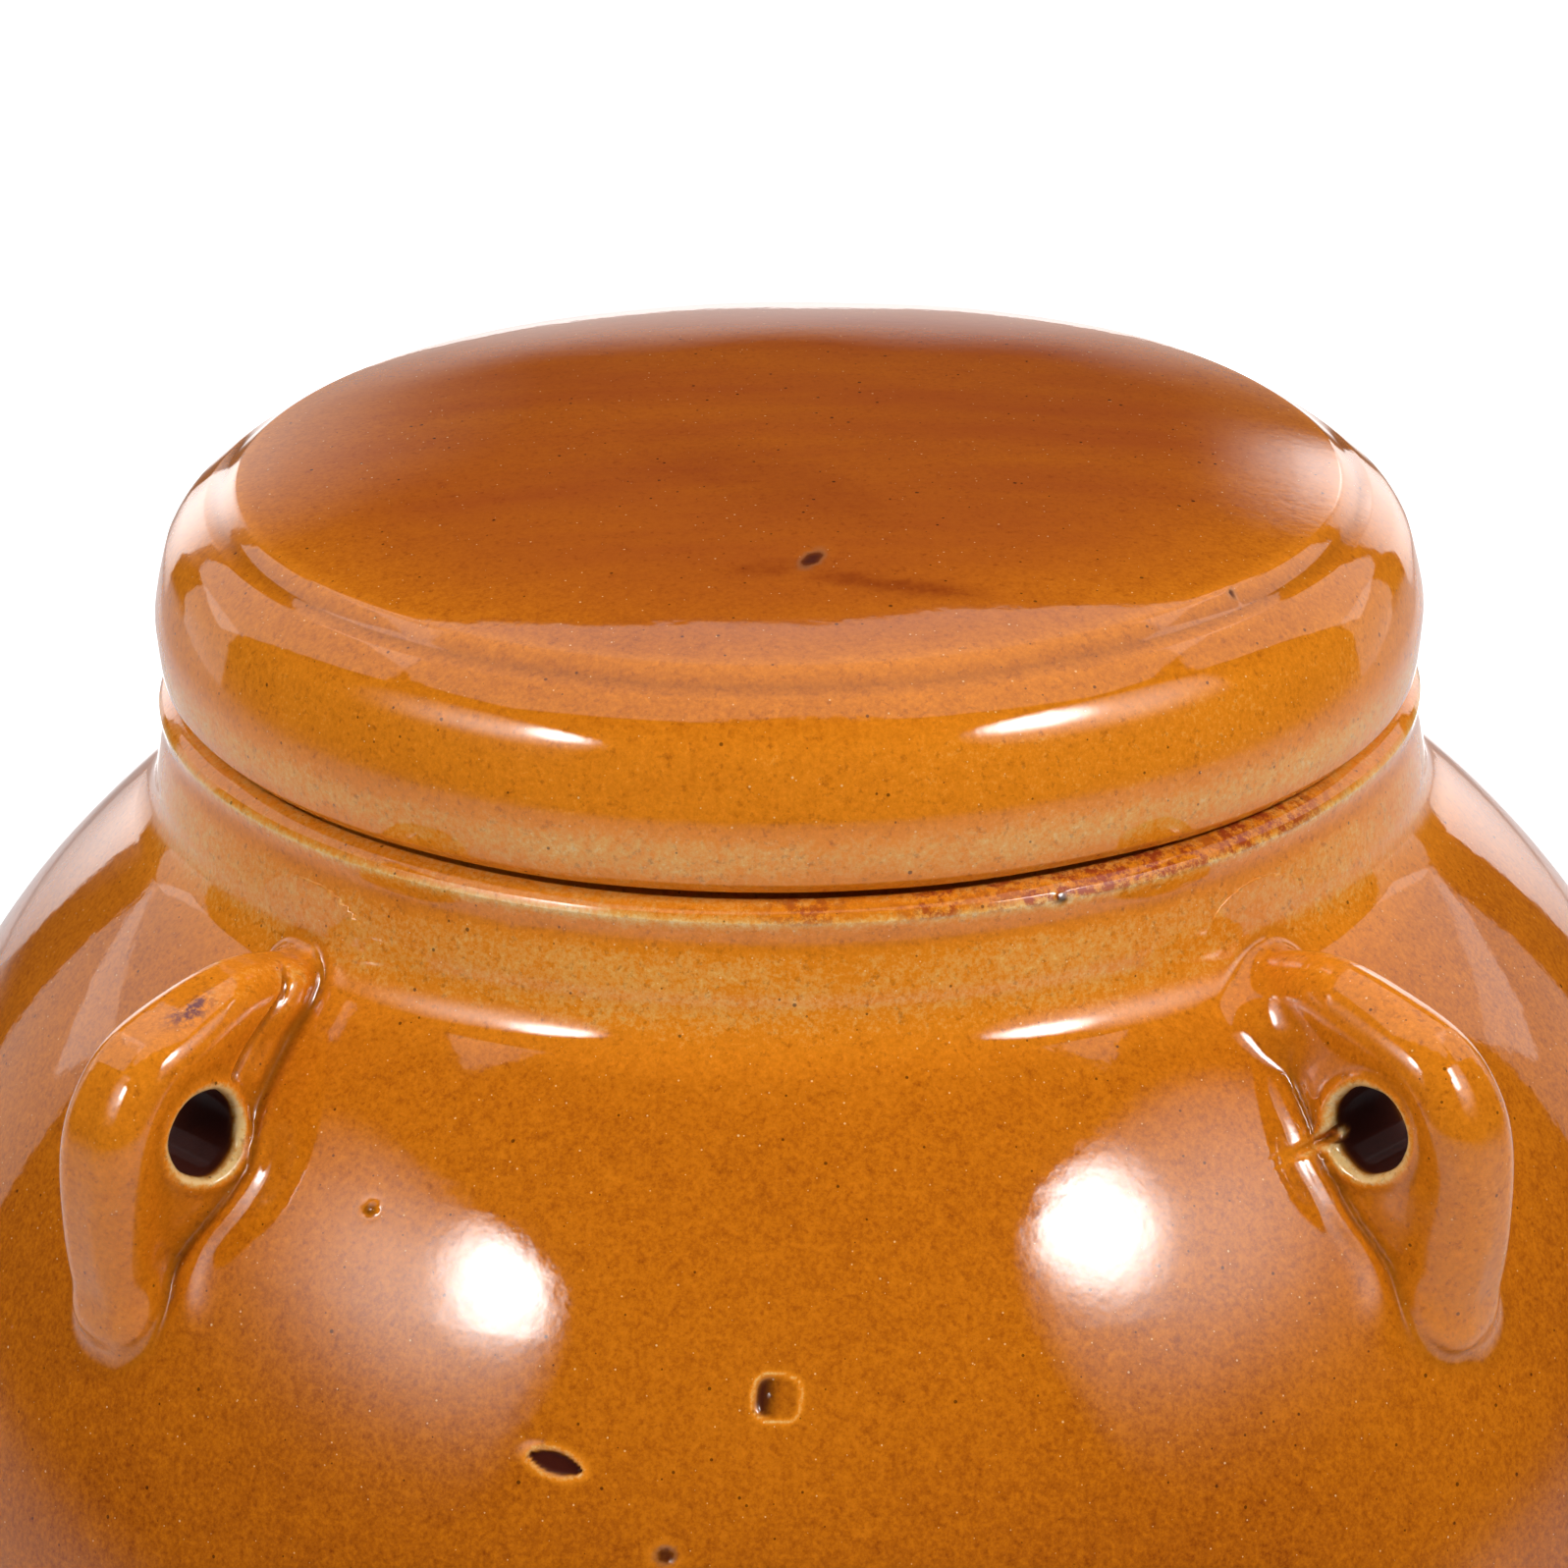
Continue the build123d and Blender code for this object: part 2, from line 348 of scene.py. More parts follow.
@dataclass
class Clay:
    """A closed surface with what its glaze does at each point."""

    points: np.ndarray
    faces: list[np.ndarray]
    normals: np.ndarray
    marks: dict[str, np.ndarray]

    def piece(
        self, name: str, body: str, nodes: tuple[str, ...], finish: bpy.types.Material,
    ) -> bpy.types.Object:
        """Makes the mesh, in metres, and puts it in the scene in place of its CAD nodes.

        Args:
            name: the piece's name.
            body: the CAD body that it rides on.
            nodes: the CAD nodes that it stands for.
            finish: its material.

        Returns:
            The new object.
        """
        corners = np.concatenate([f.ravel() for f in self.faces])
        sizes = np.concatenate([np.full(len(f), f.shape[1]) for f in self.faces])
        mesh = bpy.data.meshes.new(name)
        mesh.vertices.add(len(self.points))
        mesh.vertices.foreach_set("co", (self.points * MM).astype(np.float32).ravel())
        mesh.loops.add(len(corners))
        mesh.loops.foreach_set("vertex_index", corners.astype(np.int32))
        mesh.polygons.add(len(sizes))
        mesh.polygons.foreach_set("loop_start", np.concatenate([[0], np.cumsum(sizes)[:-1]]).astype(np.int32))
        mesh.polygons.foreach_set("loop_total", sizes.astype(np.int32))
        mesh.polygons.foreach_set("use_smooth", np.ones(len(sizes), bool))
        mesh.update(calc_edges=True)
        mesh.validate()
        for mark, values in self.marks.items():
            mesh.attributes.new(mark, "FLOAT", "POINT").data.foreach_set("value", values.astype(np.float32))
        mesh.normals_split_custom_set_from_vertices(self.normals.astype(np.float32))
        mesh.materials.append(finish)
        made = bpy.data.objects.new(name, mesh)
        bpy.context.scene.collection.objects.link(made)
        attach(made, body)
        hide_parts(*nodes)
        log.info("%s: %d points, rides on %s, stands for %s", name, len(self.points), body, ", ".join(nodes))
        return made


@dataclass
class TurnedSkin:
    """The whole skin of a thrown piece, turned from one profile."""

    profile: np.ndarray
    turns: np.ndarray
    waves: list[Waves]
    blemishes: list[Blemish]
    inset: float = 0.0
    low: float = 0.0
    high: float = 1000.0
    marks: dict[str, np.ndarray] = field(default_factory=dict)

    def __post_init__(self) -> None:
        """Works out the points, their normals, the bend of the profile and the marks of the glaze."""
        a = np.radians(self.turns)
        along = np.gradient(self.profile, axis=0)
        along /= np.maximum(np.linalg.norm(along, axis=1), 1e-9)[:, None]
        out_r, out_z = along[:, 1], -along[:, 0]
        r, z = self.profile[:, 0, None], np.repeat(self.profile[:, 1, None], len(a), 1)
        base = np.stack([r * np.sin(a), -r * np.cos(a), z], -1)
        level = np.repeat(out_z[:, None], len(a), 1)
        square = np.stack([out_r[:, None] * np.sin(a), -out_r[:, None] * np.cos(a), level], -1)
        lift = np.full(base.shape[:2], -self.inset)
        for waves in self.waves:
            lift += waves.at(base)
        flaws = [np.zeros_like(lift) for _ in range(4)]
        for blemish in self.blemishes:
            up, *more = blemish.at(base)
            lift = lift + up
            flaws = [np.maximum(a, b) for a, b in zip(flaws, more)]
        lift *= np.minimum(self.profile[:, 0] / 6.0, 1.0)[:, None] * 0.9 + 0.1
        self.base, self.square = base, square
        self.points = base + square * lift[..., None]
        self.points[..., 2] = np.clip(self.points[..., 2], self.low, self.high)
        self.normals = self.measured_normals()
        before, after = along[:-1], along[1:]
        turn = np.arctan2(before[:, 0] * after[:, 1] - before[:, 1] * after[:, 0], (before * after).sum(1))
        span = np.maximum(np.linalg.norm(np.diff(self.profile, axis=0), axis=1), 0.05)
        bend = np.zeros(len(self.profile))
        bend[:-1] += turn / span / 2
        bend[1:] += turn / span / 2
        bend = np.convolve(np.pad(bend, 2, "edge"), np.ones(5) / 5, "valid")
        self.bend = np.repeat(np.clip(bend, -1.2, 1.2)[:, None], len(a), 1)
        self.reach, self.height = np.hypot(self.points[..., 0], self.points[..., 1]), self.points[..., 2]
        self.marks = dict(zip(("glaze_thin", "glaze_brown", "glaze_bare", "glaze_smear"), flaws))

    def measured_normals(self) -> np.ndarray:
        """Normals of the uneven grid.

        Returns:
            One direction for each point, out of the clay.
        """
        p = self.points
        down = np.gradient(p, axis=0)
        ahead = np.roll(p, -1, axis=1) - np.roll(p, 1, axis=1)
        n = np.cross(ahead, down)
        size = np.linalg.norm(n, axis=-1, keepdims=True)
        n = np.where(size > 1e-7, n / np.maximum(size, 1e-9), self.square)
        return np.where((n * self.square).sum(-1, keepdims=True) < 0, -n, n)

    def cut(self, rows: np.ndarray, closed: bool) -> Clay:
        """One piece of the skin.

        Args:
            rows: the rows of the grid that the piece has, in order.
            closed: whether the last row joins the first, as in a ring.

        Returns:
            The piece, with a point at each end that lies on the axis.
        """
        columns = len(self.turns)
        points, normals = self.points[rows], self.normals[rows]
        marks = {k: v[rows] for k, v in self.marks.items()}
        first, last = self.profile[rows[0], 0] < 1e-6, self.profile[rows[-1], 0] < 1e-6
        kept = slice(1 if first else 0, len(rows) - 1 if last else len(rows))
        grid, grid_normals = points[kept].reshape(-1, 3), normals[kept].reshape(-1, 3)
        values = {k: v[kept].ravel() for k, v in marks.items()}
        count = len(points[kept])
        numbers = np.arange(count * columns).reshape(count, columns)
        upper, lower = (numbers, np.roll(numbers, -1, 0)) if closed else (numbers[:-1], numbers[1:])
        quads = np.stack([upper, np.roll(upper, -1, 1), np.roll(lower, -1, 1), lower], -1).reshape(-1, 4)
        faces = [quads]
        for there, row, at in ((first, numbers[0], 0), (last, numbers[-1], -1)):
            if there:
                tip = np.full(columns, len(grid))
                fan = np.stack([tip, row, np.roll(row, -1)], -1)
                faces.append(fan[:, ::-1] if at == 0 else fan)
                grid = np.vstack([grid, points[at].mean(0)])
                grid_normals = np.vstack([grid_normals, [0, 0, np.sign(self.square[rows[at], 0, 2])]])
                values = {k: np.append(v, marks[k][at].mean()) for k, v in values.items()}
        return Clay(grid, faces, grid_normals, values)

    def whole(self) -> Clay:
        """The whole skin as one piece, which starts and ends on the axis."""
        return self.cut(np.arange(len(self.profile)), False)


def segment_distance(
    u: np.ndarray, z: np.ndarray, start: np.ndarray, end: np.ndarray,
) -> tuple[np.ndarray, np.ndarray]:
    """Distance in a plane from a straight line between two points.

    Args:
        u: places out from the axis.
        z: heights.
        start: the line's first point.
        end: its last point.

    Returns:
        Distances in millimetres, and how far along the line its nearest point is, from 0 to 1.
    """
    run = end - start
    share = np.clip(((u - start[0]) * run[0] + (z - start[1]) * run[1]) / (run @ run), 0, 1)
    return np.hypot(u - start[0] - share * run[0], z - start[1] - share * run[1]), share


def surface_net(value: np.ndarray) -> tuple[np.ndarray, np.ndarray]:
    """The surface on which a grid of distances passes zero.

    Each cell that the surface passes through has one point, at the mean of the places where it
    crosses the cell's edges. Each crossed edge has a face between the four cells round it.

    Args:
        value: distances at the corners of the cells.

    Returns:
        Points in steps of the grid, and the corners of four-sided faces.
    """
    shape = np.array(value.shape) - 1
    total, count = np.zeros((*shape, 3)), np.zeros(shape)
    edges = []
    for axis in range(3):
        o1, o2 = (i for i in range(3) if i != axis)
        f0, f1 = np.delete(value, -1, axis), np.delete(value, 0, axis)
        crossed = (f0 < 0) != (f1 < 0)
        share = np.where(crossed, f0 / np.where(crossed, f0 - f1, 1.0), 0.0)
        edges.append((crossed, f0 < 0, o1, o2))
        for d1, d2 in ((0, 0), (0, 1), (1, 0), (1, 1)):
            part = [slice(None)] * 3
            part[o1], part[o2] = slice(d1, shape[o1] + d1), slice(d2, shape[o2] + d2)
            c, s = crossed[tuple(part)], share[tuple(part)]
            for i, amount in ((axis, s), (o1, d1), (o2, d2)):
                total[..., i] += c * amount
            count += c
    used = count > 0
    numbers = np.full(tuple(shape), -1)
    numbers[used] = np.arange(used.sum())
    faces = []
    for axis, (crossed, starts_in, o1, o2) in enumerate(edges):
        inner = [slice(None)] * 3
        inner[o1] = inner[o2] = slice(1, -1)
        at = np.argwhere(crossed[tuple(inner)])
        at[:, [o1, o2]] += 1
        corners = []
        for d1, d2 in ((-1, -1), (0, -1), (0, 0), (-1, 0)):
            cell = at.copy()
            cell[:, [o1, o2]] += (d1, d2)
            corners.append(numbers[tuple(cell.T)])
        quad = np.stack(corners, -1)
        flip = starts_in[tuple(at.T)] == (axis == 1)
        quad[flip] = quad[flip][:, ::-1]
        faces.append(quad)
    return np.argwhere(used) + total[used] / count[used][:, None], np.concatenate(faces)


def vessel_distance(r: np.ndarray, z: np.ndarray) -> np.ndarray:
    """Distance from the smooth outside of the shoulder and collar.

    Args:
        r: distances from the axis.
        z: heights.

    Returns:
        Distances in millimetres, below zero in the clay.
    """
    on_arc = np.hypot(r - SHOULDER_MIDDLE, z - BELLY_HEIGHT) - SHOULDER_SWEEP
    on_fillet = FILLET - np.hypot(r - FILLET_MIDDLE[0], z - FILLET_MIDDLE[1])
    foot = np.array([COLLAR_FOOT_RADIUS, FILLET_MIDDLE[1]])
    rise = np.array([CREASE_RADIUS, CREASE_HEIGHT]) - foot
    out = np.array([rise[1], -rise[0]]) / np.hypot(*rise)
    on_wall = (r - foot[0]) * out[0] + (z - foot[1]) * out[1]
    above_seat = (z - SEAT_HEIGHT) * SEAT_LEAN - (r - SEAT_RADIUS) * SEAT_STEEP > 0
    return np.where(z > foot[1], on_wall, np.where(above_seat, on_fillet, on_arc))


def glaze_lie(z: np.ndarray) -> np.ndarray:
    """How the glaze has run on the outside: thinner up on the collar. Low on the belly it is drawn darker, as
    painted shade where less light falls.
    """
    collar = 0.59 * smooth(186.0, 196.0, z) - 0.32 * bell(z - 202.6, 1.2) - 0.14 * smooth(204.6, 206.2, z)
    # Painted shade: darker towards the bottom of the belly
    return collar - 0.14 * smooth(176.0, 138.0, z)


# Unevenness of the thrown vessel, and how far its skin is drawn in to stay inside the CAD part
VESSEL_WAVES = [Waves(95.0, 0.16, 11), Waves(34.0, 0.035, 5)]
VESSEL_INSET = 0.32


class Working(Enum):
    """How the potter's thumb left a lug's front."""

    FOLDED = "narrow, with a strip of clay pinched up beside the hole"
    TORN = "wide, smoothed in above, with the hole's edge torn towards the shoulder"


@dataclass
class Lug:
    """An ear of clay on the shoulder, pierced across, with a rounded ridge and a hollow face.

    The tables from front_foot to ridge_round give its thickness to the front and back, and its
    ridge's radius, at shares of the way from its top to its foot. Edge, fold and strip are lines
    in its plane, as radius and height. Skirt is how far its mesh goes on under the shoulder, and
    box is the room that the net of cells fills: outwards, across and up.
    """

    name: str
    azimuth: float
    working: Working
    cell: float = 0.6
    box: Table = ((62.0, 124.0), (-24.6, 24.6), (140.6, 204.6))
    front_foot: Table = (
        (0.0, 1.6), (0.1, 3.0), (0.2, 3.9), (0.36, 4.6), (0.44, 5.6), (0.52, 7.2), (0.6, 7.0), (0.68, 5.4),
        (0.76, 3.9), (0.86, 3.3), (1.0, 3.0),
    )
    front_ridge: Table = (
        (0.0, 1.8), (0.15, 3.6), (0.35, 5.4), (0.6, 5.6), (0.8, 3.8), (1.0, 2.6),
    )
    back_offset: Table = ((0.0, 4.4), (0.3, 5.6), (0.6, 6.0), (1.0, 7.4))
    ridge_round: Table = (
        (0.0, 2.2), (0.25, 3.3), (0.5, 4.2), (0.8, 3.8), (1.0, 3.0),
    )
    hole_radius: float = 4.7
    hole_at: tuple[float, float] = (95.13, 180.67)
    scuff_at: tuple[float, float] = (93.6, 194.4)
    hollow: float = 0.9
    lip: float = 0.5
    pad: tuple[float, float, float] = (102.6, -2.0, 161.4)
    skirt: float = 8.2
    top: tuple[float, float] = (74.4, 194.0)
    foot: tuple[float, float] = (104.0, 157.3)
    edge: Table = (
        (72.0, 192.4), (76.8, 193.6), (84.4, 195.2), (93.2, 194.0), (101.2, 191.2), (106.0, 186.0),
        (107.9, 179.3), (107.5, 169.6), (106.0, 161.6), (104.4, 157.6), (102.0, 155.6),
    )
    fold: Table = (
        (77.4, 197.2), (79.3, 195.4), (82.0, 191.9), (85.4, 189.6), (88.3, 186.9), (90.0, 185.2),
    )
    strip: Table = ((77.6, 194.0), (80.6, 190.4), (83.6, 187.6), (86.8, 184.4))

    def __post_init__(self) -> None:
        """Works out the lug's own directions and its outline."""
        a = radians(self.azimuth)
        self.out = np.array([sin(a), -cos(a), 0.0])
        self.side = np.array([cos(a), sin(a), 0.0]) * (-1 if sin(2 * a) > 0 else 1)
        run = np.array(self.foot) - np.array(self.top)
        self.span = np.hypot(*run)
        self.run = run / self.span
        self.across = np.array([-self.run[1], self.run[0]])
        edge = np.array(self.edge)
        line = []
        for i in range(len(edge) - 1):
            a0, a3 = edge[max(i - 1, 0)], edge[min(i + 2, len(edge) - 1)]
            for t in np.linspace(0, 1, 7)[:-1]:
                square = 2 * a0 - 5 * edge[i] + 4 * edge[i + 1] - a3
                cubic = 3 * edge[i] - a0 - 3 * edge[i + 1] + a3
                line.append(0.5 * (2 * edge[i] + (edge[i + 1] - a0) * t + square * t * t + cubic * t**3))
        deep = -12.0 * self.across
        self.outline = np.array([*line, edge[-1], edge[-1] + deep, edge[0] + deep])

    def along(self, share: np.ndarray, table: Table) -> np.ndarray:
        """A size that changes smoothly from the lug's top to its foot.

        Args:
            share: places from 0 at the top to 1 at the foot.
            table: the size at some shares.

        Returns:
            The size at each place.
        """
        at = np.linspace(-0.25, 1.25, 151)
        rough = np.interp(at, *np.array(table).T)
        kernel = np.exp(-np.linspace(-2, 2, 21) ** 2)
        even = np.convolve(np.pad(rough, 10, "edge"), kernel / kernel.sum(), "valid")
        return np.interp(share, at, even)

    def own(self, points: np.ndarray) -> tuple[np.ndarray, np.ndarray, np.ndarray]:
        """Places in the lug's own plane: out from the axis, across towards the front, and up."""
        return points @ self.out, points @ self.side, points[..., 2]

    def world(self, own: np.ndarray) -> np.ndarray:
        """Places in the jar's frame of places in the lug's own."""
        return own[..., :1] * self.out + own[..., 1:2] * self.side + own[..., 2:] * np.array([0, 0, 1.0])

    def outline_distance(self, u: np.ndarray, z: np.ndarray) -> np.ndarray:
        """Distance from the outline in the lug's plane.

        Args:
            u: places out from the axis.
            z: heights.

        Returns:
            Distances in millimetres, below zero inside the outline.
        """
        inside = np.zeros(u.shape, bool)
        for (u0, z0), (u1, z1) in zip(self.outline, np.roll(self.outline, -1, 0)):
            if z0 != z1:
                inside ^= ((z0 > z) != (z1 > z)) & (u < u0 + (z - z0) / (z1 - z0) * (u1 - u0))
        return np.where(inside, -1, 1) * self.line_distance(u, z, [*self.outline, self.outline[0]])

    def line_distance(self, u: np.ndarray, z: np.ndarray, line: Sequence[Sequence[float]]) -> np.ndarray:
        """Distance in the lug's plane from a line.

        Args:
            u: places out from the axis.
            z: heights.
            line: the line's points.

        Returns:
            Distances in millimetres.
        """
        best = np.full(u.shape, np.inf)
        for start, end in zip(np.array(line[:-1]), np.array(line[1:])):
            best = np.minimum(best, segment_distance(u, z, start, end)[0])
        return best

    def tear_distance(self, u: np.ndarray, z: np.ndarray) -> np.ndarray:
        """Distance in the lug's plane from the torn notch, which narrows away from the hole.

        Args:
            u: places out from the axis.
            z: heights.

        Returns:
            Distances in millimetres, below zero in the notch.
        """
        away, share = segment_distance(u, z, np.array([89.2, 177.7]), np.array([92.8, 179.9]))
        return away - 0.2 - 1.5 * share

    def bare_distance(
        self, u: np.ndarray, w: np.ndarray, z: np.ndarray, flat: np.ndarray | None = None,
    ) -> np.ndarray:
        """Distance from the lug's own body before it is worked into the shoulder.

        Args:
            u: places out from the axis.
            w: places across the lug.
            z: heights.
            flat: distance from the outline in the plane, where it is known already.

        Returns:
            Distances in millimetres, below zero in the clay.
        """
        flat = self.outline_distance(u, z) if flat is None else flat
        share = np.clip(((u - self.top[0]) * self.run[0] + (z - self.top[1]) * self.run[1]) / self.span, 0, 1)
        out = np.clip(((u - self.top[0]) * self.across[0] + (z - self.top[1]) * self.across[1]) / 15.0, 0, 1)
        away = np.hypot(u - self.hole_at[0], z - self.hole_at[1])
        front = smooth(0.0, 3.0, w)
        dish = self.hollow * smooth(-3.6, -8.0, flat)
        swell = self.lip * bell(away - self.hole_radius - 0.9, 0.9)
        foot, ridge = self.along(share, self.front_foot), self.along(share, self.front_ridge)
        fore = foot + (ridge - foot) * smooth(0.05, 0.9, out) - dish + swell
        aft = self.along(share, self.back_offset)
        bow = self.along(share, self.ridge_round)
        edge, face = flat + bow, np.maximum(w - fore, -w - aft) + bow
        body = np.hypot(
            np.maximum(edge, 0), np.maximum(face, 0),
        ) - bow + np.minimum(np.maximum(edge, face), 0)
        if self.working is Working.FOLDED:
            for line, width, depth in ((self.fold, 0.5, 0.5), (self.strip, 1.4, -0.5)):
                body = body + depth * bell(self.line_distance(u, z, line), width) * front
        pad_u, pad_w, pad_z = u - self.pad[0], w - self.pad[1], z - self.pad[2]
        along = pad_u * self.run[0] + pad_z * self.run[1]
        off = -pad_u * self.run[1] + pad_z * self.run[0]
        pad = (np.sqrt((along / 4.6) ** 2 + (off / 2.4) ** 2 + (pad_w / 4.8) ** 2) - 1) * 2.4
        return blend_low(body, pad, 2.6)

    def worked(
        self, points: np.ndarray, flat: np.ndarray | None = None,
    ) -> tuple[np.ndarray, np.ndarray, np.ndarray]:
        """Distances of the lug worked into the shoulder.

        Args:
            points: places in millimetres, one a row.
            flat: distance from the outline in the plane, where it is known already.

        Returns:
            Distance from the finished surface, from the lug's own body, and from the hole's axis.
        """
        u, w, z = self.own(points)
        vessel = vessel_distance(np.hypot(points[..., 0], points[..., 1]), z) + VESSEL_INSET
        for waves in VESSEL_WAVES:
            vessel = vessel - waves.at(points)
        body = self.bare_distance(u, w, z, flat)
        # A groove thumbed along the joint, with the clay pushed up beside it
        low = smooth(self.hole_at[1] + 5, self.hole_at[1] - 5, z)
        front = smooth(0.0, 3.0, w)
        bank = 0.40 * bell(body - 0.3, 0.6) - 0.44 * bell(body - 1.9, 1.25)
        reach = 1.3 + 1.2 * (1 - front)
        if self.working is Working.TORN:
            merged = smooth(182.5, 188.5, z) * front
            reach = reach + 5.0 * merged * smooth(196.0, 188.0, z)
            bank = bank * (1 - merged)
        vessel = vessel + bank * front * (0.35 + 0.65 * low) * smooth(157.0, 164.0, z)
        joined = blend_low(body, vessel, reach)
        turn = np.arctan2(z - self.hole_at[1], u - self.hole_at[0])
        away = np.hypot(u - self.hole_at[0] - 0.02 * w, z - self.hole_at[1])
        hole = self.hole_radius + 0.14 * np.sin(3.1 * turn + self.azimuth) + 0.06 * np.sin(7 * turn) - away
        if self.working is Working.TORN:
            hole = np.maximum(hole, -self.tear_distance(u, z) - 3.0 * smooth(7.9, 6.4, w))
        joined = -blend_low(-joined, -hole, 0.9)
        return joined, body, away

    def shown(self, points: np.ndarray, flat: np.ndarray | None = None, bare: bool = False) -> np.ndarray:
        """Distance from the piece: its worked surface, closed off just under the shoulder.

        Args:
            points: places in millimetres, one a row.
            flat: distance from the outline in the plane, where it is known already.
            bare: leaves out the hair's breadth by which the piece stands over the shoulder.

        Returns:
            Distances in millimetres, below zero in the clay.
        """
        joined, body, _ = self.worked(points, flat)
        if not bare:
            joined = joined - 0.02 + 0.06 * smooth(self.skirt - 2.0, self.skirt, body)
        under = vessel_distance(np.hypot(points[..., 0], points[..., 1]), points[..., 2]) + 2.6
        return np.maximum(np.maximum(joined, -under), body - self.skirt)

    def net(self) -> tuple[np.ndarray, np.ndarray]:
        """The piece's surface as a net of four-sided faces.

        Returns:
            Points in millimetres, and the faces' corners.
        """
        axes = [np.arange(start, end, self.cell) for start, end in self.box]
        flat = self.outline_distance(*np.meshgrid(axes[0], axes[2], indexing="ij"))[:, None, :]
        grid = np.stack(np.meshgrid(*axes, indexing="ij"), -1)
        cells, faces = surface_net(self.shown(self.world(grid), np.broadcast_to(flat, grid.shape[:-1])))
        if np.cross(self.out, self.side)[2] < 0:
            faces = faces[:, ::-1]
        return self.world(np.array([axis[0] for axis in axes]) + cells * self.cell), faces

    def slope(self, points: np.ndarray, bare: bool) -> np.ndarray:
        """Gradient of the piece's distance.

        Args:
            points: places in millimetres, one a row.
            bare: as in shown.

        Returns:
            One gradient for each place.
        """
        step = 0.12
        ahead, behind = ([self.shown(points + d, bare=bare) for d in s * np.eye(3)] for s in (step, -step))
        return (np.stack(ahead, -1) - np.stack(behind, -1)) / (2 * step)

    def clay(self) -> Clay:
        """The lug's surface, with its points moved onto the true shape.

        Returns:
            The piece, with the marks of the glaze.
        """
        points, faces = self.net()
        for _ in range(2):
            g = self.slope(points, False)
            off = self.shown(points)[:, None] * g / np.maximum((g * g).sum(-1, keepdims=True), 0.25)
            points = points - np.clip(off, -self.cell / 2, self.cell / 2)
        g = self.slope(points, True)
        normals = g / np.maximum(np.linalg.norm(g, axis=-1, keepdims=True), 1e-9)
        joined, body, away = self.worked(points)
        spread = 0.9
        around = spread * np.vstack([np.eye(3), -np.eye(3)])
        mean = sum(self.worked(points + d)[0] for d in around) / 6 - joined
        bend = np.clip(mean / 0.16, -1, 1)
        u, w, z = self.own(points)
        lip = self.worked(points + self.side * 1.3 * np.sign(w)[:, None])[0]
        # Cream round the hole's lip, and painted shade in its bore: dark brown, bare matte clay, standing for
        # the shadow inside the hole
        ring = smooth(self.hole_radius + 1.25, self.hole_radius + 0.35, away) * smooth(0.1, 0.8, lip)
        deep = smooth(self.hole_radius + 0.9, self.hole_radius + 0.3, away) * smooth(0.9, -0.2, lip)
        if self.working is Working.TORN:
            near = self.tear_distance(u, z)
            ring = np.maximum(
                ring, bell(near - 0.3, 0.45) * smooth(6.6, 7.6, w) * smooth(9.0, 6.0, away) * 0.9,
            )
        fade = smooth(self.skirt - 1.5, 2.5, body)
        thin = np.clip(bend, 0, 1) * fade * 0.30 + 0.66 * ring
        brown = np.clip(-bend, 0, 1) * fade * 0.42 * (1 - ring) + 1.2 * deep
        scuff = np.zeros_like(u)
        if self.working is Working.FOLDED:
            along, across = u - self.scuff_at[0], z - self.scuff_at[1]
            scuff = smooth(
                1.0, 0.4, np.hypot(along / 4.6, (across + 0.25 * along) / 1.7),
            ) * smooth(0.0, 1.2, w)
        # The glaze's run, with the painted shade low on the belly, also on the lug
        thin += glaze_lie(z) * (0.3 + 0.7 * smooth(0.0, 3.0, body)) + 0.16 * smooth(2.0, 0.0, body)
        marks = {"glaze_thin": np.clip(thin, -0.3, 1), "glaze_brown": np.clip(brown, 0, 1)}
        # The painted shade in the bore is also passed on as bare clay, so the bore shows matte and dark
        return Clay(points, [faces], normals, {**marks, "glaze_scuff": scuff, "glaze_bare": deep})

    def sink(self, points: np.ndarray) -> np.ndarray:
        """How far the vessel's own skin is drawn in under the lug.

        Args:
            points: places of the skin in millimetres, one a row.

        Returns:
            One depth in millimetres for each place.
        """
        u, w, z = self.own(points)
        near = (np.abs(w) < 21) & (u > 60) & (z > 140) & (z < 206)
        deep = np.zeros(points.shape[:-1])
        deep[near] = 1.6 * smooth(
            self.skirt - 2.6, self.skirt - 5.0, self.bare_distance(u[near], w[near], z[near]),
        )
        return deep


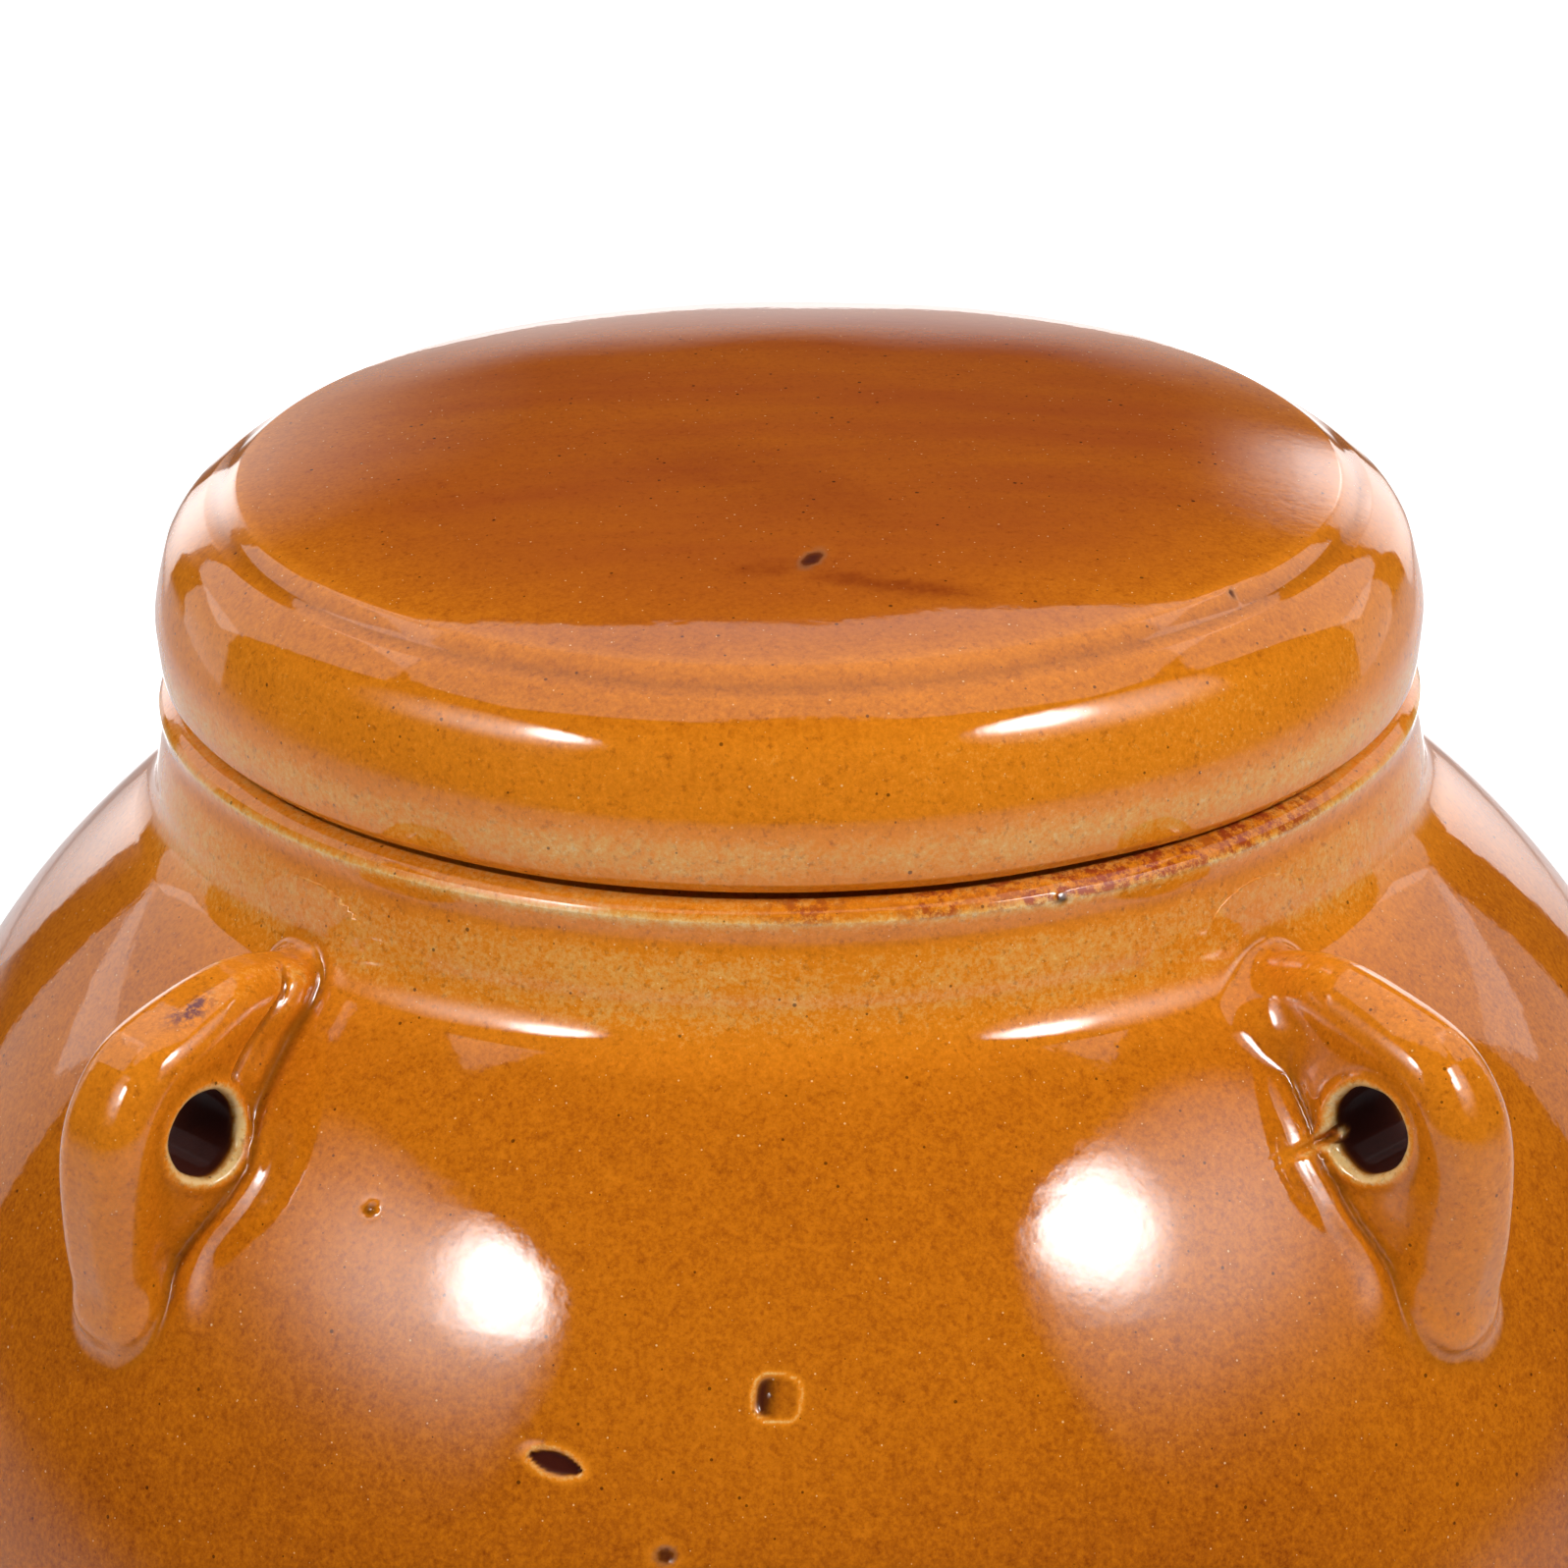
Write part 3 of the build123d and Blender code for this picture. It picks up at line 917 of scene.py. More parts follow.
@dataclass
class Vessel:
    """The jar itself: foot, belly and shoulder, with the collar and the mouth that were added."""

    foot_turned: float = 0.9
    bare_foot: float = 8.5

    def blemishes(self) -> list[Blemish]:
        """The flaws on the front of the shoulder.

        Returns:
            One blemish for each.
        """
        return [
            Blemish(Mark.PIT, 100.1, -1.3, 164.1, 31.9, 2.35, 2.3, 0.5, -6),
            Blemish(Mark.GASH, 104.1, -14.0, 157.3, 27.7, 3.15, 1.25, 0.62, -11),
            Blemish(Mark.BUMP, 107.6, -7.4, 149.6, 23.4, 1.5, 1.3, -0.3, 0, 0.75),
            Blemish(Mark.BUMP, 91.7, -29.2, 175.9, 39.3, 0.95, 0.85, 0.34, 0, 0.75),
            Blemish(Mark.BUMP, 106.5, 3.6, 152.2, 24.8, 0.5, 0.5, 0.16, 0, 0.3),
            Blemish(Mark.BUMP, 73.9, -23.6, 202.9, 2.0, 0.5, 0.5, 0.14, 0, 0.0),
            Blemish(Mark.BUMP, 73.6, 22.5, 205.2, 20.0, 1.1, 1.0, 0.12, 0, 1.0),
        ]

    def profile(self) -> tuple[np.ndarray, list[int]]:
        """The whole profile, and where each piece's stretch of it starts.

        Returns:
            Points of the profile from the foot's middle up over the rim, down the trough, over
            the mouth and down inside to the floor, and the row at which each stretch starts.
        """
        ring = FOOT_RADIUS - FOOT_RING
        foot = rounded([
            (0, FOOT_RECESS), (ring, FOOT_RECESS, 1.2), (ring + FOOT_BEVEL, 0, self.foot_turned),
            (FOOT_RADIUS - FOOT_BEVEL, 0, self.foot_turned), (FOOT_RADIUS, FOOT_BEVEL, 0.6),
            (FOOT_RADIUS, FOOT_BAND),
        ])
        upper, lower = (SHOULDER_MIDDLE, BELLY_HEIGHT), (LOWER_MIDDLE, BELLY_HEIGHT)
        start, end = angle_at(lower, (FOOT_RADIUS, FOOT_BAND)), angle_at(upper, (SEAT_RADIUS, SEAT_HEIGHT))
        belly = arc(lower, LOWER_SWEEP, start, 0, 120)
        shoulder = arc(upper, SHOULDER_SWEEP, 0, end, 160)
        outside = np.vstack([foot, belly[1:], shoulder[1:]])
        fillet = arc(FILLET_MIDDLE, FILLET, 180 + end, 180, 24)
        collar = rounded([
            *fillet, (CREASE_RADIUS - 0.35, CREASE_HEIGHT - 1.9, 3.0), (CREASE_RADIUS, CREASE_HEIGHT, 0.7),
            (CREASE_RADIUS - 0.5, CREASE_HEIGHT + 0.95, 1.2), (CREASE_RADIUS - 1.7, RIM_TOP - 0.35, 2.0),
            (CREASE_RADIUS - 3.1, RIM_TOP + 0.05, 2.0), (TROUGH_RADIUS, RIM_TOP - 0.6, 1.0),
            (TROUGH_RADIUS, SEAT_HEIGHT),
        ])
        trough = rounded([
            (TROUGH_RADIUS, SEAT_HEIGHT), (TROUGH_RADIUS, TROUGH_FLOOR, 1.2),
            (MOUTH_OUTER, TROUGH_FLOOR, 1.3), (MOUTH_OUTER, TROUGH_FLOOR + 1.5),
        ])
        mouth = rounded([
            (MOUTH_OUTER, TROUGH_FLOOR + 1.5), (MOUTH_OUTER, MOUTH_TOP, 2.4), (MOUTH_RADIUS, MOUTH_TOP, 2.4),
            (MOUTH_RADIUS, TROUGH_FLOOR),
        ])
        thin_upper, thin_lower = SHOULDER_SWEEP - WALL, LOWER_SWEEP - WALL
        first = (reach_at(SHOULDER_MIDDLE, thin_upper, TROUGH_CEILING), TROUGH_CEILING)
        last = (reach_at(LOWER_MIDDLE, thin_lower, BASE_TOP), BASE_TOP)
        hollow = [
            *arc(upper, thin_upper, angle_at(upper, first), 0, 40),
            *arc(lower, thin_lower, 0, angle_at(lower, last), 60)[1:],
        ]
        hollow = [h for h in hollow if BASE_TOP + 9 < h[1] < TROUGH_CEILING - 3]
        inside = rounded([
            (MOUTH_RADIUS, TROUGH_FLOOR), (MOUTH_RADIUS, TROUGH_CEILING, 2.0), (*first, 2.5), *hollow,
            (*last, BASE_CORNER), (0, BASE_TOP),
        ])
        fine = [
            (4, 13, 1.5), (105, 190, 2.2), (146, 152, 0.5), (154, 160.5, 0.25), (160.5, 168, 0.36),
            (174, 178, 0.4), (190, 208, 0.7),
        ]
        parts = [
            thinned(outside, 4.0, fine), thinned(collar, 0.8, [(203.5, 208.0, 0.4)]), thinned(trough, 2.2),
            thinned(mouth, 2.2), thinned(inside, 7.0),
        ]
        starts, rows = [], 0
        for part in parts:
            starts.append(rows)
            rows += len(part)
        return np.vstack(parts), starts

    def build(self, lugs: list[Lug], finish: bpy.types.Material) -> list[bpy.types.Object]:
        """Makes the three pieces of the vessel.

        Args:
            lugs: the lugs, under which the skin is drawn in.
            finish: the glaze.

        Returns:
            The body, the collar and the mouth.
        """
        profile, starts = self.profile()
        closer = [
            (-16.2, -11.8, 0.13), (-8.5, -6.2, 0.32), (-3.0, 0.6, 0.2), (-30.0, -28.4, 0.3),
            (21.6, 23.4, 0.22),
        ]
        turns = azimuths(1.4, closer)
        skin = TurnedSkin(profile, turns, VESSEL_WAVES, self.blemishes(), VESSEL_INSET)
        marks = skin.marks
        z, r, bend = skin.height, skin.reach, skin.bend
        azimuth = np.degrees(np.arctan2(skin.base[..., 0], -skin.base[..., 1]))
        row = np.arange(len(profile))[:, None] * np.ones((1, len(turns)))
        below_collar, outside = row < starts[1], row < starts[2]
        # Cream where the glaze runs thin: on the rim's outer corner, where the cream is also a painted
        # highlight along the crease, and on every sharp bend. The glaze's run adds painted shade low on the
        # belly
        edge_line = bell(z - 204.9, 0.42) * (r > 72.6)
        thin = np.maximum(marks["glaze_thin"], np.clip(bend, 0, 1) * 0.25 * (r < 72)) + glaze_lie(z) * outside
        marks["glaze_thin"] = np.clip(thin + 0.30 * edge_line, -0.3, 1)
        marks["glaze_brown"] = np.clip(
            np.maximum(marks["glaze_brown"], np.clip(-bend, 0, 1) * 0.5 * (z < 189)), 0, 1,
        )
        # The foot was held while the jar was dipped, and stayed bare below a wavering edge
        edge = self.bare_foot + Waves(30, 1.2, 3).at(skin.base)
        marks["glaze_bare"] = np.maximum(
            marks["glaze_bare"], smooth(edge + 0.35, edge - 0.35, z) * below_collar,
        )
        # Iron stains on top of the rim, in the front and to the right
        stained = smooth(6.5, 12, azimuth) * smooth(60, 46, azimuth) + 0.8 * bell(azimuth - 1.0, 3.4)
        marks["glaze_rust"] = np.clip(smooth(204.5, 205.2, z) * stained * (outside & ~below_collar), 0, 1)
        for lug in lugs:
            skin.points -= skin.square * (lug.sink(skin.base) * outside)[..., None]
        body_rows = np.r_[0 : starts[1], starts[2] : starts[3], starts[4] : len(profile)]
        return [
            skin.cut(rows, closed).piece(node + "_skin", "jar", (node,), finish)
            for node, rows, closed in (
                ("jar_body", body_rows, False),
                ("trough_collar", np.arange(starts[1], starts[2]), True),
                ("mouth_neck", np.arange(starts[3], starts[4]), True),
            )
        ]


@dataclass
class OuterLid:
    """The capped lid whose skirt stands in the trough."""

    top: float = 235.4
    crown_radius: float = 63.8
    crown_sag: float = 5.1
    radius: float = 73.0
    side_top: float = 221.0
    side_foot: float = 212.4
    skirt_radius: float = 68.0
    skirt_inner: float = 62.3
    wall: float = 6.5
    ceiling_rise: float = 7.6

    def profile(self) -> tuple[np.ndarray, int]:
        """The lid's whole profile.

        Returns:
            Points from under its middle, round the skirt's foot, to the top of its crown, and the
            row where its outside starts.
        """
        crown = [
            (r, self.top - 0.35 - (self.crown_sag - 0.2) * (r / self.crown_radius) ** 3)
            for r in np.linspace(0, self.crown_radius - 4.8, 50)
        ]
        edge, crown_end, side, top, foot = (
            self.top - self.crown_sag, self.crown_radius, self.radius, self.side_top, self.side_foot,
        )
        outer = rounded([
            *crown, (crown_end - 0.2, edge - 0.2, 3.2), (crown_end + 1.9, edge - 1.85, 1.5),
            (crown_end + 3.5, edge - 2.6, 1.8),
            (crown_end + 6.4, edge - 4.9, 4.0), (side - 1.3, top + 2.2, 5.0), (side - 0.4, top - 0.7, 8.0),
            (side + 0.6, top - 4.8, 10.0), (side + 0.4, foot - 0.8, 10.0), (side, foot - 3.4, 1.2),
            (side - 1.4, foot - 4.8, 0.8), (self.skirt_radius, foot - 4.95, 0.8),
            (self.skirt_radius, TROUGH_FLOOR, 2.0), (self.skirt_radius - 2.85, TROUGH_FLOOR),
        ])
        under = self.top - self.wall
        inner_radius = self.radius - self.wall
        corner = under - self.ceiling_rise
        ledge = self.side_foot - 5 + 2.85
        sag = arc_radius(self.ceiling_rise, inner_radius)
        ceiling = [(r, under - sag + sqrt(sag**2 - r * r)) for r in np.linspace(inner_radius - 5, 0, 30)]
        inner = rounded([
            (self.skirt_radius - 2.85, TROUGH_FLOOR), (self.skirt_inner, TROUGH_FLOOR, 2.0),
            (self.skirt_inner, ledge, 1.5),
            (inner_radius, ledge + 4.5, 1.5), (inner_radius, corner, 5.5), *ceiling,
        ])
        outer, inner = thinned(outer, 1.3), thinned(inner, 4.0)
        return np.vstack([outer, inner[1:]])[::-1], len(inner) - 1

    def blemishes(self) -> list[Blemish]:
        """The flaws on the lid.

        Returns:
            One blemish for each.
        """
        return [
            Blemish(Mark.BUMP, 41.4, 3.3, 233.3, 84.0, 3.1, 1.5, -0.10, 58, 0.85),
            Blemish(Mark.BUMP, 63.9, 47.4, 229.4, 45.0, 0.9, 0.5, -0.25, 20),
            Blemish(Mark.BUMP, 73.0, -9.0, 217.2, 2.0, 0.8, 0.6, 0.15, 0, 0.0),
            Blemish(Mark.SMEAR, 46.5, 7.6, 232.9, 84.0, 6.5, 2.4, 0, -18, 0.65),
            Blemish(Mark.SMEAR, 50.0, 15.0, 232.6, 84.0, 10.5, 2.6, 0, -24, 0.75),
            Blemish(Mark.SMEAR, 43.5, -2.5, 233.3, 84.0, 8.0, 2.6, 0, 12, 0.5),
            Blemish(Mark.SMEAR, 18.0, -14.0, 235.0, 88.0, 24.0, 11.0, 0, -35, 0.22),
            Blemish(Mark.SMEAR, 26.0, 12.0, 234.6, 87.0, 17.0, 7.0, 0, -75, 0.22),
        ]

    def build(self, finish: bpy.types.Material) -> bpy.types.Object:
        """Makes the lid.

        Args:
            finish: the glaze.

        Returns:
            The lid.
        """
        profile, inner = self.profile()
        turns = azimuths(1.2, [(-1.0, 8.0, 0.45), (45.5, 49.0, 0.5), (-10.5, -7.5, 0.45)])
        waves = [Waves(80.0, 0.13, 21), Waves(30.0, 0.04, 27)]
        skin = TurnedSkin(profile, turns, waves, self.blemishes(), 0.1, TROUGH_FLOOR, self.top)
        marks = skin.marks
        outside = (np.arange(len(profile)) >= inner)[:, None] * np.ones((1, len(turns)))
        z, r = skin.height, skin.reach
        # Thin on the upright side and on both edges of the groove round the crown, which is brown
        upper = outside * (z > 226)
        low = smooth(215.8, 213.2, z) * smooth(209.4, 211.0, z)
        thin = (0.36 * smooth(228.0, 222.5, z) + 0.28 * low) * outside + np.clip(skin.bend, 0, 1) * 0.1
        thin += (0.26 * bell(r - 63.6, 1.1) + 0.16 * bell(r - 67.4, 0.7)) * upper
        marks["glaze_thin"] = np.clip(np.maximum(marks["glaze_thin"], thin), 0, 1)
        marks["glaze_brown"] = np.maximum(marks["glaze_brown"], 0.2 * bell(r - 65.7, 0.6) * upper)
        # The skirt's foot was wiped, so that it didn't stick in the kiln
        wiped = smooth(188.2, 187.6, z + Waves(25, 0.5, 8).at(skin.base))
        marks["glaze_bare"] = np.maximum(marks["glaze_bare"], wiped)
        marks["glaze_crown"] = smooth(72.0, 40.0, r) * outside
        return skin.whole().piece("outer_lid_skin", "outer_lid", ("outer_lid",), finish)


@dataclass
class InnerLid:
    """The loose plate on the mouth, with a ring under it and a thrown knob on top."""

    edge_radius: float = 52.5
    spigot_radius: float = 46.5
    spigot_wall: float = 5.5
    spigot_depth: float = 7.0
    edge: float = 4.0
    crown: float = 6.0
    seat: float = 9.0

    def plate_profile(self) -> np.ndarray:
        """The plate's profile.

        Returns:
            Points from under its middle to over it.
        """
        top, inner = MOUTH_TOP + self.crown, self.spigot_radius - self.spigot_wall
        low = MOUTH_TOP - self.spigot_depth
        fall = [
            (r, top - (self.crown - self.edge) * ((r - self.seat) / (self.edge_radius - self.seat)) ** 2)
            for r in np.linspace(self.edge_radius - 2.0, self.seat, 20)
        ]
        return thinned(rounded([
            (0, MOUTH_TOP), (inner, MOUTH_TOP, 1.2), (inner, low, 1.4), (self.spigot_radius, low, 1.4),
            (self.spigot_radius, MOUTH_TOP, 0.8), (self.edge_radius, MOUTH_TOP, 0.9),
            (self.edge_radius, MOUTH_TOP + self.edge, 1.6), *fall, (0, top),
        ]), 3.0)

    def knob_profile(self) -> np.ndarray:
        """The knob's profile.

        Returns:
            Points from under its middle to over it.
        """
        base = MOUTH_TOP + self.crown
        return thinned(rounded([
            (0, base), (self.seat, base), (7.3, base + 1.0, 1.5), (6.7, base + 3.0, 1.5),
            (10.3, base + 4.1, 1.3), (10.8, base + 6.2, 1.6), (7.0, base + 8.0, 4.0), (0, base + 8.5),
        ]), 1.0)

    def build(self, finish: bpy.types.Material) -> list[bpy.types.Object]:
        """Makes the plate and the knob.

        Args:
            finish: the glaze.

        Returns:
            Both pieces.
        """
        made = []
        for node, profile, step in (
            ("inner_lid", self.plate_profile(), 1.8), ("inner_lid_knob", self.knob_profile(), 4.0),
        ):
            waves, heights = [Waves(60.0, 0.05, 33)], profile[:, 1]
            skin = TurnedSkin(profile, azimuths(step), waves, [], 0.08, heights.min(), heights.max())
            wiped = smooth(MOUTH_TOP + 0.35, MOUTH_TOP + 0.1, skin.height)
            skin.marks["glaze_thin"] = np.clip(skin.bend * 1.2, 0, 1) * 0.7
            skin.marks["glaze_bare"] = wiped * (node == "inner_lid")
            made.append(skin.whole().piece(node + "_skin", "inner_lid", (node,), finish))
        return made


def linear(code: str) -> tuple[float, float, float, float]:
    """Linear colour of an sRGB hex value."""
    parts = [int(code[i : i + 2], 16) / 255 for i in (1, 3, 5)]
    return (*(p / 12.92 if p <= 0.04045 else ((p + 0.055) / 1.055) ** 2.4 for p in parts), 1.0)


def add_node(
    tree: bpy.types.NodeTree, kind: str, inputs: dict | None = None, out: int | str = 0, **settings: object
) -> bpy.types.NodeSocket | None:
    """Adds a node with its settings and links.

    Args:
        tree: the node tree.
        kind: the node's type, without the word ShaderNode in front.
        inputs: for each input, by number or name, its value or the output that goes into it.
        out: the output that is wanted, by number or name.
        settings: properties of the node.

    Returns:
        The wanted output, or None where the node has none.
    """
    node = tree.nodes.new("ShaderNode" + kind)
    for key, value in settings.items():
        setattr(node, key, value)
    for key, value in (inputs or {}).items():
        if isinstance(value, bpy.types.NodeSocket):
            tree.links.new(value, node.inputs[key])
        else:
            node.inputs[key].default_value = value
    return node.outputs[out] if node.outputs else None


@dataclass(frozen=True)
class AmberGlaze:
    """Transparent iron amber glaze over thrown stoneware, dipped and fired glossy.

    It gives the eye a wet, mirror-like skin over a warm orange that is never quite one colour:
    cream where the glaze has run thin on an edge, brown where it lies thick, and full of specks.
    """

    name: str = "amber_glazed_stoneware"
    # The glaze from thick to thin
    brown: str = "#7A300A"
    amber: str = "#BF690E"
    pale: str = "#E0831A"
    honey: str = "#E2A24E"
    cream: str = "#E6C283"
    # What lies in it or shows through. Dark, and pierced on bare clay, also serve as painted shade in the
    # lugs' bores and on the undercut side of a pit
    dark: str = "#240903"
    crown: str = "#9B4717"
    rust: str = "#A2421A"
    smear: str = "#7A2C0A"
    pierced: str = "#3E0F06"
    scuff: str = "#6E3434"
    clay: str = "#B98F63"
    roughness: float = 0.045
    ior: float = 1.52
    # Depth of the unevenness in millimetres, of the glaze's skin and of bare clay
    peel_depth: float = 0.013
    grit_depth: float = 0.1
    # Sizes in millimetres. The crystals in the glaze are under 0.3 mm and too fine to show in the
    # render, so the grain named fine is drawn about twice as coarse
    grains: tuple[tuple[str, float, float, float], ...] = (
        ("mottle", 2.2, 4.0, 0.62), ("cloud", 34.0, 3.0, 0.5), ("fine", 0.62, 3.0, 0.75),
        ("streak", 26.0, 4.0, 0.6), ("fleck", 0.9, 3.0, 0.7), ("run", 2.6, 4.0, 0.6),
        ("stain", 1.5, 5.0, 0.75), ("patch", 9.0, 2.0, 0.5), ("scrape", 1.2, 4.0, 0.7),
        ("orange_peel", 1.7, 2.0, 0.5), ("grit", 0.7, 5.0, 0.7), ("earth", 1.1, 4.0, 0.5),
    )
    # Iron specks up to 0.5 mm across, and glints: pale dots drawn 0.3 mm across to show, painted into the
    # colour as painted highlights, which also raise the glaze's bump
    dots: tuple[tuple[str, float, float, float, float], ...] = (
        ("speck", 1.8, 0.25, -0.03, 0.15), ("glint", 0.85, 0.45, -0.02, 0.17),
    )
    # How thick glaze of each colour lies, from 0 thick to 1 thin
    ramp: tuple[tuple[float, str], ...] = (
        (0.0, "brown"), (1.0, "cream"), (0.333, "amber"), (0.66, "pale"), (0.84, "honey"),
    )
    # Name, the pattern it comes from, the stretch of its values, and what they turn into
    ranges: tuple[tuple[str, str, float, float, float, float], ...] = (
        ("mottle", "mottle", 0.25, 0.75, -0.10, 0.10), ("cloud", "cloud", 0.3, 0.7, -0.07, 0.07),
        ("fine", "fine", 0.3, 0.7, -0.20, 0.20), ("streak", "streak", 0.35, 0.7, 0.55, 1.0),
        ("fleck", "fleck", 0.56, 0.74, 0.0, 0.5), ("run", "run", 0.3, 0.6, 0.5, 1.0),
        ("stain", "stain", 0.44, 0.56, 0.0, 1.0), ("patch", "patch", 0.25, 0.45, 0.0, 1.0),
        ("scrape", "scrape", 0.42, 0.58, 0.0, 1.0), ("earth", "earth", 0.55, 0.75, 0.0, 0.5),
        ("clay", "mottle", 0.0, 1.0, 0.86, 1.0), ("pierced", "brown", 0.15, 0.5, 0.0, 1.0),
    )

    def patterns(self, tree: bpy.types.NodeTree) -> Sockets:
        """Adds what the glaze and the clay are made of.

        Args:
            tree: the node tree.

        Returns:
            The marks that each mesh carries, the grains of noise and the dots, by name. A grain's
            row gives its size in millimetres, detail and roughness. A row of dots gives their
            spacing in millimetres, the share of cells without one, and their range of radius.
        """
        place = add_node(tree, "NewGeometry", out="Position")
        drawn = add_node(tree, "Mapping", {"Vector": place, "Scale": (0.35, 1.6, 1.0)})
        found = {
            name: add_node(tree, "Attribute", out="Fac", attribute_name="glaze_" + name)
            for name in ("thin", "brown", "bare", "smear", "rust", "crown", "scuff")
        }
        for name, size_mm, detail, rough in self.grains:
            at = drawn if name == "streak" else place
            numbers = {"Vector": at, "Scale": 1000 / size_mm, "Detail": detail, "Roughness": rough}
            found[name] = add_node(tree, "TexNoise", numbers, "Fac")
        for name, size_mm, none, least, most in self.dots:
            cells = add_node(tree, "TexVoronoi", {"Vector": place, "Scale": 1000 / size_mm}, "Distance")
            numbers = {"From Min": none, "From Max": 1.0, "To Min": least, "To Max": most}
            reach = add_node(tree, "MapRange", {"Value": cells.node.outputs["Color"], **numbers}, "Result")
            found[name] = add_node(tree, "Math", {0: cells, 1: reach}, operation="LESS_THAN")
        return found

    def depth(self, tree: bpy.types.NodeTree, raw: Sockets, share: Sockets) -> bpy.types.NodeSocket:
        """Adds the colour of the glaze by how thick it lies.

        Args:
            tree: the node tree.
            raw: the patterns and marks.
            share: how strongly the patterns act.

        Returns:
            The colour.
        """
        thin = raw["thin"]
        for part in ("mottle", "cloud", "fine"):
            thin = add_node(tree, "Math", {0: thin, 1: share[part]}, operation="ADD")
        thin = add_node(tree, "MapRange", {"Value": thin, "From Min": -0.5, "From Max": 1.0}, "Result")
        colour = add_node(tree, "ValToRGB", {"Fac": thin}, "Color")
        stops = colour.node.color_ramp.elements
        for i, (at, code) in enumerate(self.ramp):
            stop = stops[i] if i < 2 else stops.new(at)
            stop.position, stop.color = at, linear(getattr(self, code))
        return colour

    def layered(
        self, tree: bpy.types.NodeTree, colour: bpy.types.NodeSocket, layers: Sequence[tuple],
    ) -> bpy.types.NodeSocket:
        """Adds colours that lie over one another.

        Args:
            tree: the node tree.
            colour: the lowest colour.
            layers: for each further one, the factors of its strength and then its hex value.

        Returns:
            The colour of all of them.
        """
        for *factors, code in layers:
            amount = factors[0]
            for factor in factors[1:]:
                amount = add_node(tree, "Math", {0: amount, 1: factor}, operation="MULTIPLY")
            colour = add_node(tree, "Mix", {0: amount, 6: colour, 7: linear(code)}, 2, data_type="RGBA")
        return colour

    def material(self) -> bpy.types.Material:
        """The glaze as a material, with bare clay where the glaze was wiped off or never ran, and bare dark
        clay as painted shade in the lugs' bores and on a pit's undercut side.

        Returns:
            The material.
        """
        made = bpy.data.materials.new(self.name)
        made.use_nodes = True
        tree = made.node_tree
        tree.nodes.clear()
        raw = self.patterns(tree)
        share = {
            name: add_node(tree, "MapRange", {
                "Value": raw[source], "From Min": low, "From Max": high, "To Min": start, "To Max": end,
            }, "Result")
            for name, source, low, high, start, end in self.ranges
        }
        depth = self.depth(tree, raw, share)
        colour = self.layered(tree, depth, (
            (raw["crown"], share["streak"], self.crown),
            (share["fleck"], self.brown),
            (raw["speck"], 0.7, self.dark),
            # Painted highlights: pale glint dots standing for sparkles of light on the glaze
            (raw["glint"], 0.75, self.cream),
            (raw["smear"], share["run"], self.smear),
            (raw["rust"], share["stain"], share["patch"], self.rust),
            # The brown mark: glaze pooled in creases and blemishes, and painted shade in the lugs' bores and
            # a pit's undercut side
            (raw["brown"], 0.9, self.dark),
            (raw["scuff"], share["scrape"], self.scuff),
        ))
        # Bare clay turns pierced dark where the brown mark is strong; in the bores and a pit's undercut side
        # that is painted shade
        earth = self.layered(tree, depth, (
            (raw["cloud"], self.clay),
            (share["earth"], self.clay),
            (share["clay"], self.clay),
            (share["pierced"], self.pierced),
        ))
        raised = add_node(tree, "Math", {0: raw["glint"], 1: 0.6}, operation="MULTIPLY")
        raised = add_node(tree, "Math", {0: raised, 1: raw["orange_peel"]}, operation="ADD")
        peel, grit = (
            add_node(tree, "Bump", {"Strength": 1.0, "Distance": size_mm * MM, "Height": height})
            for size_mm, height in ((self.peel_depth, raised), (self.grit_depth, raw["grit"]))
        )
        glaze = add_node(tree, "BsdfPrincipled", {
            "Base Color": colour, "Normal": peel, "Roughness": self.roughness, "IOR": self.ior,
        })
        bisque = add_node(tree, "BsdfPrincipled", {
            "Base Color": earth, "Normal": grit, "Roughness": 0.85, "IOR": 1.5, "Specular IOR Level": 0.12,
        })
        both = add_node(tree, "MixShader", {0: raw["bare"], 1: glaze, 2: bisque})
        add_node(tree, "OutputMaterial", {"Surface": both})
        return made


